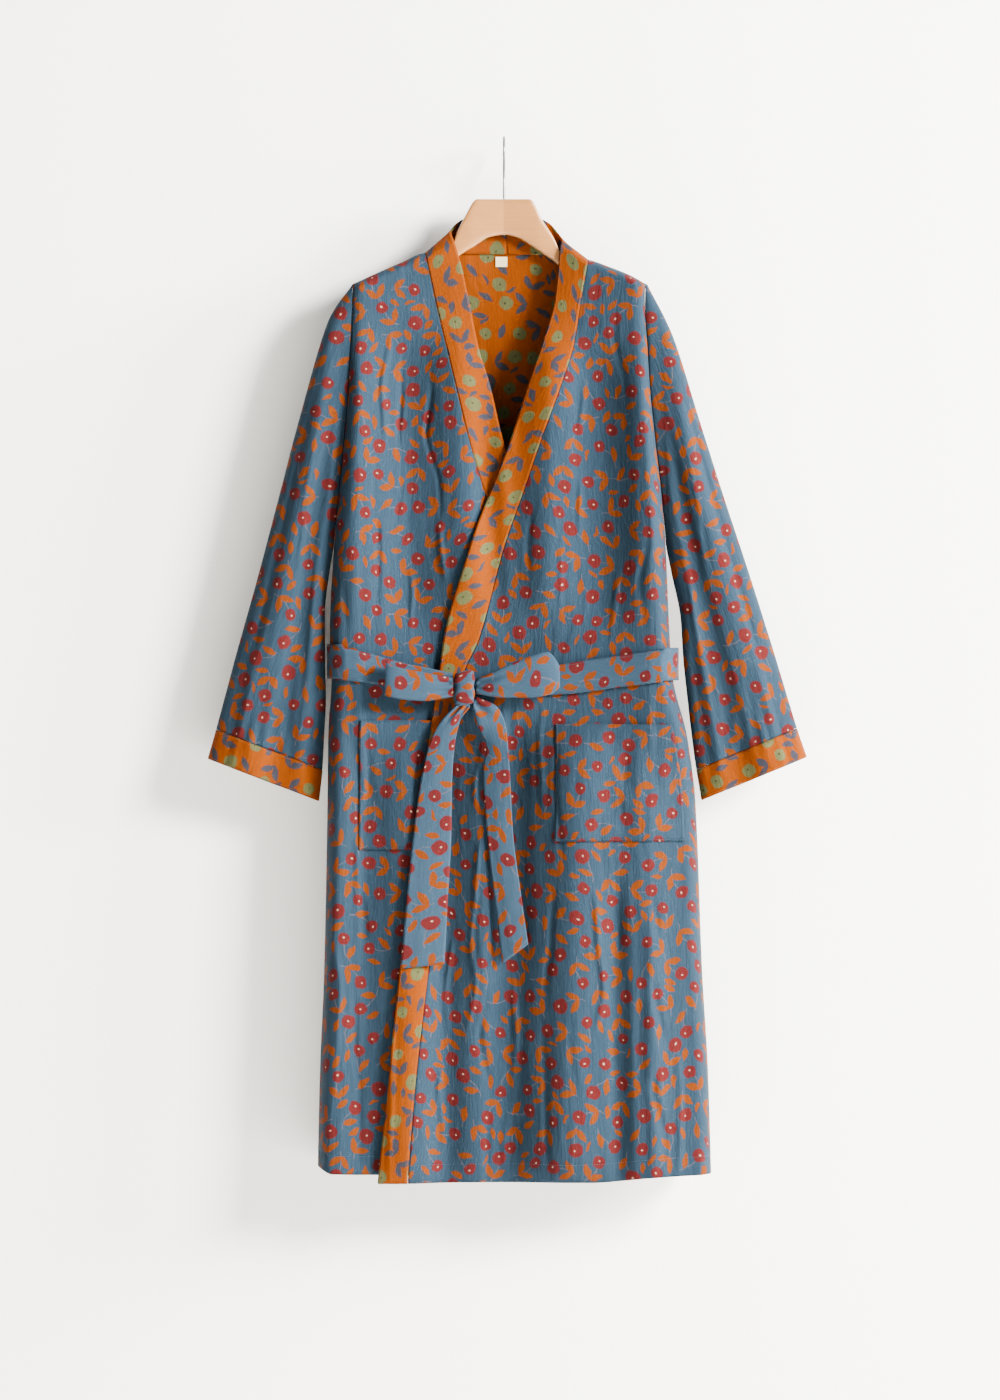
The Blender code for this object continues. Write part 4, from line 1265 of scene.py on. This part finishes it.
def gauze(name, ground, flower, heart, leaf, stem, gleam, pucker=1.0):
    """One face of the jacquard gauze in its own colours."""
    made, tree, shader = new_material(name)
    sprig = add(tree, "ShaderNodeGroup", node_tree=print_group)
    uv = add(tree, "ShaderNodeUVMap", uv_map="cloth").outputs["UV"]
    tone = noise(tree, uv, 60.0, 3.0)
    slub = noise(tree, uv, stretch=(900.0, 120.0, 1.0))
    shade = ground
    for part, dye in (("Stem", stem), ("Leaf", leaf), ("Flower", flower), ("Heart", heart)):
        factor = sum_of(tree, "MULTIPLY", sprig.outputs[part], DYE_STRENGTH[part])
        shade = mix(tree, factor, shade, dye)
    light = sum_of(tree, "MULTIPLY_ADD", tone, 0.16, 0.92)
    light = sum_of(tree, "MULTIPLY", light, sum_of(tree, "MULTIPLY_ADD", slub, 0.16, 0.92))
    shade = add(tree, "ShaderNodeHueSaturation", {"Value": light, "Color": shade}).outputs[0]
    # From coarse to fine: long broken wrinkles, upright puckers, and the threads of the weave. Each is
    # stretched by its features in a metre of cloth, across and along the threads.
    wrinkles = noise(tree, uv, distortion=0.6, stretch=(46.0, 15.0, 1.0), kind="RIDGED_MULTIFRACTAL")
    puckers = noise(tree, uv, detail=3.0, stretch=(330.0, 45.0, 1.0))
    weave = noise(tree, uv, detail=1.0, stretch=(1400.0, 1400.0, 1.0))
    normal = bump(tree, wrinkles, 0.55 * pucker, 0.0022)
    normal = bump(tree, puckers, 0.5 * pucker, 0.0014, normal)
    normal = bump(tree, weave, 0.35, 0.0003, normal)
    tree.links.new(shade, shader.inputs["Base Color"])
    tree.links.new(normal, shader.inputs["Normal"])
    shader.inputs["Roughness"].default_value = 0.7
    shader.inputs["Specular IOR Level"].default_value = 0.06
    motif = sum_of(tree, "MAXIMUM", sprig.outputs["Leaf"], sprig.outputs["Flower"])
    tree.links.new(mix(tree, motif, gleam, MOTIF_GLEAM), shader.inputs["Specular Tint"])
    shader.inputs["Sheen Weight"].default_value = 0.01
    shader.inputs["Sheen Roughness"].default_value = 0.5
    return made


MOTIF_GLEAM = "#985024"
BLUE = "#1A262F"
# The belt is the robe's own gauze: its lighter blue ground is painted light, so the belt looks lit
# against the shaded robe
BELT_BLUE_PAINTED_LIGHTER = "#212F3A"
RED = "#3E100F"
ORANGE = "#5A2602"
PALE = "#846C5C"
LEAF_ORANGE = "#522303"
STEM_PALE = "#443A3C"
GREEN = "#3A3E26"
GREY_BLUE = "#1E242B"
DARK_HEART = "#12150C"
STEM_BROWN = "#431E06"
BLUE_GLEAM = "#78B0F4"
ORANGE_GLEAM = "#C07030"
face = gauze("blue gauze", BLUE, RED, PALE, LEAF_ORANGE, STEM_PALE, BLUE_GLEAM)
reverse = gauze("orange gauze", ORANGE, GREEN, DARK_HEART, GREY_BLUE, STEM_BROWN, ORANGE_GLEAM, 0.7)
# The belt's copy of the gauze has fewer puckers, and its ground is painted lighter as if lit
smooth_face_painted_lighter = gauze("blue gauze, pressed, painted lighter", BELT_BLUE_PAINTED_LIGHTER, RED, PALE, LEAF_ORANGE, STEM_PALE, BLUE_GLEAM, 0.5)
print("two faces of one cloth:", face.name, "and", reverse.name)

# %% [markdown]
# ## Dressing the solids
#
# Now every solid of cloth is replaced by its finer piece. Each one is laid at its own place on the
# printed cloth, as a maker lays out a pattern.

# %% Cloth pieces
# Where each piece was cut from the printed cloth, in millimetres across and along it
PANEL_STARTS = {"back": (400, 60), "right": (1330, 140), "left": (910, 17)}
BAND_STARTS = {"right": 700, "left": 0}
SLEEVE_STARTS = {"right": 90, "left": 230}
CUFF_STARTS = {"right": 55, "left": 410}
POCKET_SHIFT = (57, 33)


def panel_print(grid, across_from, along_from, mirrored=False):
    """Print of a panel, laid by its side seam and its top edge."""
    side = grid[:, 0, 0] * (-1 if mirrored else 1) + across_from
    return print_on(grid, across_from=side, along_from=along_from - grid[0, :, 2])


faces = (face, reverse)
turned_faces = (reverse, reverse)
cloth("back", back, WALL, faces, panel_print(back, *PANEL_STARTS["back"]))
for side, grid in fronts.items():
    left = side == "left"
    flip = not left
    start = PANEL_STARTS[side]
    pocket_start = [place + shift for place, shift in zip(start, POCKET_SHIFT)]
    cloth(f"front_{side}", grid, WALL, faces,
          panel_print(grid, *start, mirrored=left), flip=flip)
    cloth(f"band_{side}", bands[side], FOLDED_WALL, turned_faces,
          print_on_ribbon(bands[side], BAND_STARTS[side]), flip=flip)
    cloth(f"pocket_{side}", pockets[side], WALL, faces,
          panel_print(pockets[side], *pocket_start, mirrored=left), flip=flip)
    cloth(f"sleeve_{side}", sleeves[side], WALL, faces,
          print_on_tube(sleeves[side], side, SLEEVE_STARTS[side]), closed=True, flip=flip)
    cloth(f"cuff_{side}", cuffs[side], FOLDED_WALL, turned_faces,
          print_on_tube(cuffs[side], side, CUFF_STARTS[side]), closed=True, flip=flip)

# %% Belt pieces
BELT_START = 330
RIBBON_START = 20
RIBBON_SHIFT = 170
# The belt's pieces wear the gauze whose ground is painted lighter, as if lit
belt_faces = (smooth_face_painted_lighter, smooth_face_painted_lighter)
cloth("belt", belt, FOLDED_WALL, belt_faces,
      print_on_ribbon(belt, BELT_START), flip=True)
for index, (name, grid) in enumerate(ribbons.items()):
    cloth(name, grid, FOLDED_WALL, belt_faces,
          print_on_ribbon(grid, RIBBON_SHIFT * index + RIBBON_START), flip=name != "bow_loop_left")
tied = cloth("belt_knot", knot, FOLDED_WALL, belt_faces, closed=True)
fill_ends(tied.data)

# %% [markdown]
# ## Stitches
#
# A machine stitch shows on top as a row of short thread humps with a small gap between them. A line of
# points that lies a little inside an edge is all that has to be given: Geometry Nodes step along it and
# lay one drawn-out ball at each step. The pitch is 3 mm, as on light cotton, and each stitch is a little
# longer or shorter than the next.

# %% Stitch nodes
STITCH_PITCH = 3.0
STITCH_LENGTH = 2.3
THREAD = 0.45
STITCH_RISE = 0.1


def stitch_nodes():
    """Geometry Nodes that lay a stitch at each step of a line."""
    tree = bpy.data.node_groups.new("stitches on a line", "GeometryNodeTree")
    tree.interface.new_socket("Line", in_out="INPUT", socket_type="NodeSocketGeometry")
    for name in ("Pitch", "Length", "Thickness"):
        tree.interface.new_socket(name, in_out="INPUT", socket_type="NodeSocketFloat")
    tree.interface.new_socket("Thread", in_out="INPUT", socket_type="NodeSocketMaterial")
    tree.interface.new_socket("Stitches", in_out="OUTPUT", socket_type="NodeSocketGeometry")
    given = add(tree, "NodeGroupInput").outputs
    line = add(tree, "GeometryNodeMeshToCurve", {"Mesh": given["Line"]}).outputs[0]
    pitched = {"Curve": line, "Length": given["Pitch"]}
    steps = add(tree, "GeometryNodeResampleCurve", pitched, mode="LENGTH")
    ball = add(tree, "GeometryNodeMeshUVSphere", {"Segments": 6, "Rings": 4, "Radius": 0.5}).outputs[0]
    shares = {2: 0.85, 3: 1.1, "Seed": SEEDS["stitches"]}
    uneven = add(tree, "FunctionNodeRandomValue", shares).outputs[1]
    length = sum_of(tree, "MULTIPLY", given["Length"], uneven)
    sides = {0: given["Thickness"], 1: given["Thickness"], 2: length}
    size = add(tree, "ShaderNodeCombineXYZ", sides).outputs[0]
    along = add(tree, "GeometryNodeInputTangent").outputs[0]
    lie = add(tree, "FunctionNodeAlignRotationToVector", {"Vector": along}, axis="Z").outputs[0]
    placed = {"Points": steps.outputs[0], "Instance": ball, "Rotation": lie, "Scale": size}
    laid = add(tree, "GeometryNodeInstanceOnPoints", placed).outputs[0]
    real = add(tree, "GeometryNodeRealizeInstances", {"Geometry": laid}).outputs[0]
    soft = add(tree, "GeometryNodeSetShadeSmooth", {"Geometry": real}).outputs[0]
    coloured = {"Geometry": soft, "Material": given["Thread"]}
    dyed = add(tree, "GeometryNodeSetMaterial", coloured).outputs[0]
    add(tree, "NodeGroupOutput", {0: dyed})
    return tree


def thread(name, dark, light):
    """Twisted polyester thread: the gleam on each ply is painted as lighter bands along the twist, over
    a faint real highlight.
    """
    made, tree, shader = new_material(name)
    place = add(tree, "ShaderNodeTexCoord").outputs["Object"]
    waves = {"Vector": place, "Scale": 1600.0, "Distortion": 1.0}
    painted_ply_gleam = add(tree, "ShaderNodeTexWave", waves, bands_direction="DIAGONAL")
    # Painted highlight: the lighter colour of each band along the twist stands in for the gleam of a ply
    shade = mix(tree, painted_ply_gleam.outputs["Fac"], dark, light)
    tree.links.new(shade, shader.inputs["Base Color"])
    shader.inputs["Roughness"].default_value = 0.55
    shader.inputs["Specular IOR Level"].default_value = 0.2
    return made


def lifted(grid, closed=False):
    """Points of a grid moved by the rise of a stitch: outward on a tube, forward on a sheet."""
    outward = normals_of(grid)
    middle = grid.mean(axis=(0, 1)) if closed else np.array([0.0, BEHIND, 0.0]) + grid * [1, 0, 1]
    outward *= np.sign(np.sum(outward * (grid - middle), axis=2, keepdims=True))
    return grid + outward * STITCH_RISE


def line_inside(rows, distance):
    """Points at a distance inside the first edge of each row of points."""
    points = []
    for row in rows:
        run = np.concatenate([[0], np.cumsum(np.linalg.norm(np.diff(row, axis=0), axis=1))])
        points.append([np.interp(distance, run, row[:, axis]) for axis in range(3)])
    return np.array(points)


def edge_lines(grid, sides, inset):
    """Stitch lines inside the named sides of a grid."""
    turned = {
        "start": grid,
        "end": grid[:, ::-1],
        "top": np.swapaxes(grid, 0, 1),
        "low": np.swapaxes(grid[::-1], 0, 1),
    }
    return [line_inside(turned[side], inset) for side in sides]


def stitches(name, lines, dye):
    """Piece of stitching along lines of points."""
    points = np.concatenate(lines) * MM
    starts = np.cumsum([0] + [len(line) for line in lines])
    edges = [(i, i + 1) for first, end in zip(starts, starts[1:]) for i in range(first, end - 1)]
    mesh = bpy.data.meshes.new(f"{name} lines")
    mesh.from_pydata(points, edges, [])
    guide = new_object(f"{name} lines", mesh)
    layer = guide.modifiers.new("stitches", "NODES")
    layer.node_group = stitch_group
    sockets = {item.name: item.identifier for item in stitch_group.interface.items_tree}
    layer[sockets["Pitch"]] = STITCH_PITCH * MM
    layer[sockets["Length"]] = STITCH_LENGTH * MM
    layer[sockets["Thickness"]] = THREAD * MM
    layer[sockets["Thread"]] = dye
    settled = guide.evaluated_get(bpy.context.evaluated_depsgraph_get())
    made = new_object(name, bpy.data.meshes.new_from_object(settled))
    bpy.data.objects.remove(guide)
    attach(made, "root")
    print(name, "has", len(made.data.polygons), "faces")
    return made


# %% Stitch lines
# Sheets are lifted forward, away from a plane at this Y, so at the back the thread is sunk as much
BEHIND = 60.0
HEM_INSET = 22.0
EDGE_INSET = 2.2
stitch_group = stitch_nodes()
blue_thread = thread("blue thread", "#1A2630", "#2B3A48")
orange_thread = thread("orange thread", "#5E2A04", "#7A3C0C")
lines = []
for side, grid in pockets.items():
    lines += edge_lines(lifted(grid), ("start", "end", "low"), EDGE_INSET)
for grid in fronts.values():
    lines += edge_lines(lifted(grid), ("low",), HEM_INSET)
lines += edge_lines(lifted(back), ("low",), HEM_INSET)
stitches("blue_stitches", lines, blue_thread)
stitches("belt_stitches", edge_lines(lifted(belt), ("start", "end"), EDGE_INSET), blue_thread)
lines = []
for grid in bands.values():
    lines += edge_lines(lifted(grid), ("start", "end"), EDGE_INSET)
stitches("band_stitches", lines, orange_thread)
lines = []
for grid in cuffs.values():
    lines += edge_lines(lifted(round_again(grid, True), closed=True), ("top", "low"), EDGE_INSET)
stitches("cuff_stitches", lines, orange_thread)

# %% [markdown]
# ## Label, hanger and hook
#
# The label is a scrap of woven tape. The hanger is beech, sawn and sanded, then lacquered: the grain
# runs along each arm, and the lacquer gives a soft highlight. The hook is bright plated steel wire.

# %% Small finishes
def wood():
    """Lacquered beech with its grain along the hanger."""
    made, tree, shader = new_material("lacquered beech")
    place = add(tree, "ShaderNodeTexCoord").outputs["Object"]
    grain = noise(tree, place, detail=4.0, stretch=(14.0, 260.0, 260.0))
    fleck = noise(tree, place, stretch=(120.0, 1400.0, 1400.0))
    tone = sum_of(tree, "MULTIPLY_ADD", grain, 0.8, sum_of(tree, "MULTIPLY", fleck, 0.2))
    ramp = add(tree, "ShaderNodeValToRGB", {"Fac": tone})
    ramp.color_ramp.elements[0].position = 0.3
    ramp.color_ramp.elements[0].color = colour("#855625")
    ramp.color_ramp.elements[1].position = 0.7
    ramp.color_ramp.elements[1].color = colour("#925F2B")
    tree.links.new(ramp.outputs[0], shader.inputs["Base Color"])
    tree.links.new(bump(tree, grain, 0.1, 0.0004), shader.inputs["Normal"])
    shader.inputs["Roughness"].default_value = 0.42
    shader.inputs["Coat Weight"].default_value = 0.25
    shader.inputs["Coat Roughness"].default_value = 0.2
    return made


def steel():
    """Bright plated wire with faint drawing marks."""
    made, tree, shader = new_material("plated steel wire")
    place = add(tree, "ShaderNodeTexCoord").outputs["Object"]
    marks = noise(tree, place, 900.0)
    rough = add(tree, "ShaderNodeMapRange", {"Value": marks, "To Min": 0.34, "To Max": 0.48}).outputs[0]
    tree.links.new(rough, shader.inputs["Roughness"])
    shader.inputs["Base Color"].default_value = colour("#5E5E5E")
    shader.inputs["Metallic"].default_value = 1.0
    return made


def tape():
    """Cream satin label tape with its fine ribs."""
    made, tree, shader = new_material("label tape")
    place = add(tree, "ShaderNodeTexCoord").outputs["Object"]
    waves = {"Vector": place, "Scale": 900.0, "Distortion": 0.4}
    ribs = add(tree, "ShaderNodeTexWave", waves, bands_direction="Z")
    shade = mix(tree, ribs.outputs["Fac"], "#C0AE86", "#AA9870")
    tree.links.new(shade, shader.inputs["Base Color"])
    shader.inputs["Roughness"].default_value = 0.6
    return made


for node, finish in (("hook", steel()), ("label", tape())):
    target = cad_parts[node]
    target.data.materials.clear()
    target.data.materials.append(finish)
    print(node, "is finished with", finish.name)

# %% Hanger
HANGER = table(
    "x top low",
    (-174, 183, 197),
    (-150, 165.4, 189),
    (-122, 151.4, 175),
    (-95, 142.2, 164),
    (-76, 142, 160),
    (-66, 135, 152),
    (-56, 112, 143),
    (-46, 92, 136),
    (-36, 75, 130),
    (-33, 73, 128),
    (-18, 73, 119),
    (0, 73, 116),
    (18, 73, 120),
    (31, 73, 128),
    (34, 75, 130),
    (46, 98, 138),
    (60, 120, 148),
    (68, 137, 155),
    (78, 147, 166),
    (101, 150.2, 173),
    (127, 158.4, 182),
    (150, 167.8, 192),
    (160, 175, 195),
)
HANGER_THICKNESS = 12.0
HANGER_CORNER = 0.4
HANGER_SECTIONS = 150
# Slope of the board on each side of its middle crease, and how far from it that slope goes
BOARD_BEND = 0.06
BOARD_REACH = 40.0


def hanger_grid():
    """Rounded sections along the hanger, which is bent forward from a crease at its middle."""
    xs = np.linspace(HANGER["x"][0], HANGER["x"][-1], HANGER_SECTIONS)
    xs = np.sort(np.append(xs, 0.0))
    angles = np.radians(np.arange(0, 360, 8))
    side = squared(np.sin(angles), HANGER_CORNER)
    rise = squared(np.cos(angles), HANGER_CORNER)
    rings = []
    for x in xs:
        top, low = (float(smooth(x, HANGER["x"], HANGER[edge])) for edge in ("top", "low"))
        plan = min(-BOARD_BEND * min(abs(x), BOARD_REACH), float(hanger_plane(x)))
        y = plan + side * HANGER_THICKNESS / 2
        z = rise * (low - top) / 2 - (low + top) / 2
        rings.append(np.stack([np.full(len(angles), x), y, z], axis=1))
    return np.array(rings)


board = hanger_grid()
hanger = grid_object("hanger_board", board, print_on(board, closed=True), closed=True, flip=True)
fill_ends(hanger.data)
hanger.data.materials.append(wood())
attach(hanger, "root")
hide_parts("hanger")
print("the hanger is", round(np.ptp(board[:, :, 0])), "mm wide")

# %% [markdown]
# ## Light, wall and camera
#
# The robe hangs before a plain pale wall. A large soft light stands high on the right, so the shadow
# falls softly to the left and below, and the room's own light fills the rest.

# %% Set and light
def plane(name, corners, finish):
    """Flat piece of the set."""
    mesh = bpy.data.meshes.new(name)
    mesh.from_pydata(corners, [], [(0, 1, 2, 3)])
    mesh.materials.append(finish)
    made = new_object(name, mesh)
    return made


def plaster():
    """Pale matt wall paint."""
    made, tree, shader = new_material("pale wall paint")
    place = add(tree, "ShaderNodeTexCoord").outputs["Object"]
    shade = mix(tree, noise(tree, place, 3.0), "#F6F4EF", "#F3F1EC")
    tree.links.new(shade, shader.inputs["Base Color"])
    shader.inputs["Roughness"].default_value = 0.95
    return made


WALL_Y = 0.042
FLOOR_Z = -2.2
ROOM_SIDE = 6
ROOM_FRONT = -8
ROOM_TOP = 4
paint = plaster()
foot = [(-ROOM_SIDE, WALL_Y, FLOOR_Z), (ROOM_SIDE, WALL_Y, FLOOR_Z)]
plane("wall", foot + [(ROOM_SIDE, WALL_Y, ROOM_TOP), (-ROOM_SIDE, WALL_Y, ROOM_TOP)], paint)
near = [(-ROOM_SIDE, ROOM_FRONT, FLOOR_Z), (ROOM_SIDE, ROOM_FRONT, FLOOR_Z)]
plane("floor", near + foot[::-1], paint)


def area_light(name, place, target, size, power):
    """Soft square light that looks at a point."""
    lamp = bpy.data.lights.new(name, "AREA")
    lamp.energy = power
    lamp.size = size
    made = new_object(name, lamp)
    made.location = place
    made.rotation_euler = (Vector(target) - Vector(place)).to_track_quat("-Z", "Y").to_euler()
    return made


ROBE_MIDDLE = (0, 0, -0.65)
ROOM_LIGHT = 0.5
area_light("window", (4.0, -3.1, 1.4), ROBE_MIDDLE, 1.5, 1950)
area_light("side window", (4.9, -1.35, 0.6), ROBE_MIDDLE, 1.2, 1500)
sky = bpy.data.worlds.new("room light")
sky.use_nodes = True
sky.node_tree.nodes["Background"].inputs["Color"].default_value = colour("#FFFFFF")
sky.node_tree.nodes["Background"].inputs["Strength"].default_value = ROOM_LIGHT
bpy.context.scene.world = sky

# %% Camera
PHOTO_SIZE = (1000, 1400)
MM_PER_PIXEL = 1.2
HOOK_PIXEL = (504, 137)
FOCAL = 200.0
# Y of the plane that is seen at the photo's scale
FRONT_Y = -0.025
lens = bpy.data.cameras.new("camera")
lens.sensor_fit = "VERTICAL"
lens.sensor_height = 36.0
lens.lens = FOCAL
camera = new_object("camera", lens)
reach = PHOTO_SIZE[1] * MM_PER_PIXEL * MM * FOCAL / lens.sensor_height
middle_x = (PHOTO_SIZE[0] / 2 - HOOK_PIXEL[0]) * MM_PER_PIXEL * MM
middle_z = -(PHOTO_SIZE[1] / 2 - HOOK_PIXEL[1]) * MM_PER_PIXEL * MM
camera.location = (middle_x, FRONT_Y - reach, middle_z)
camera.rotation_euler = (math.radians(90), 0, 0)
bpy.context.scene.camera = camera
print("the camera stands", round(reach, 2), "m before the robe")
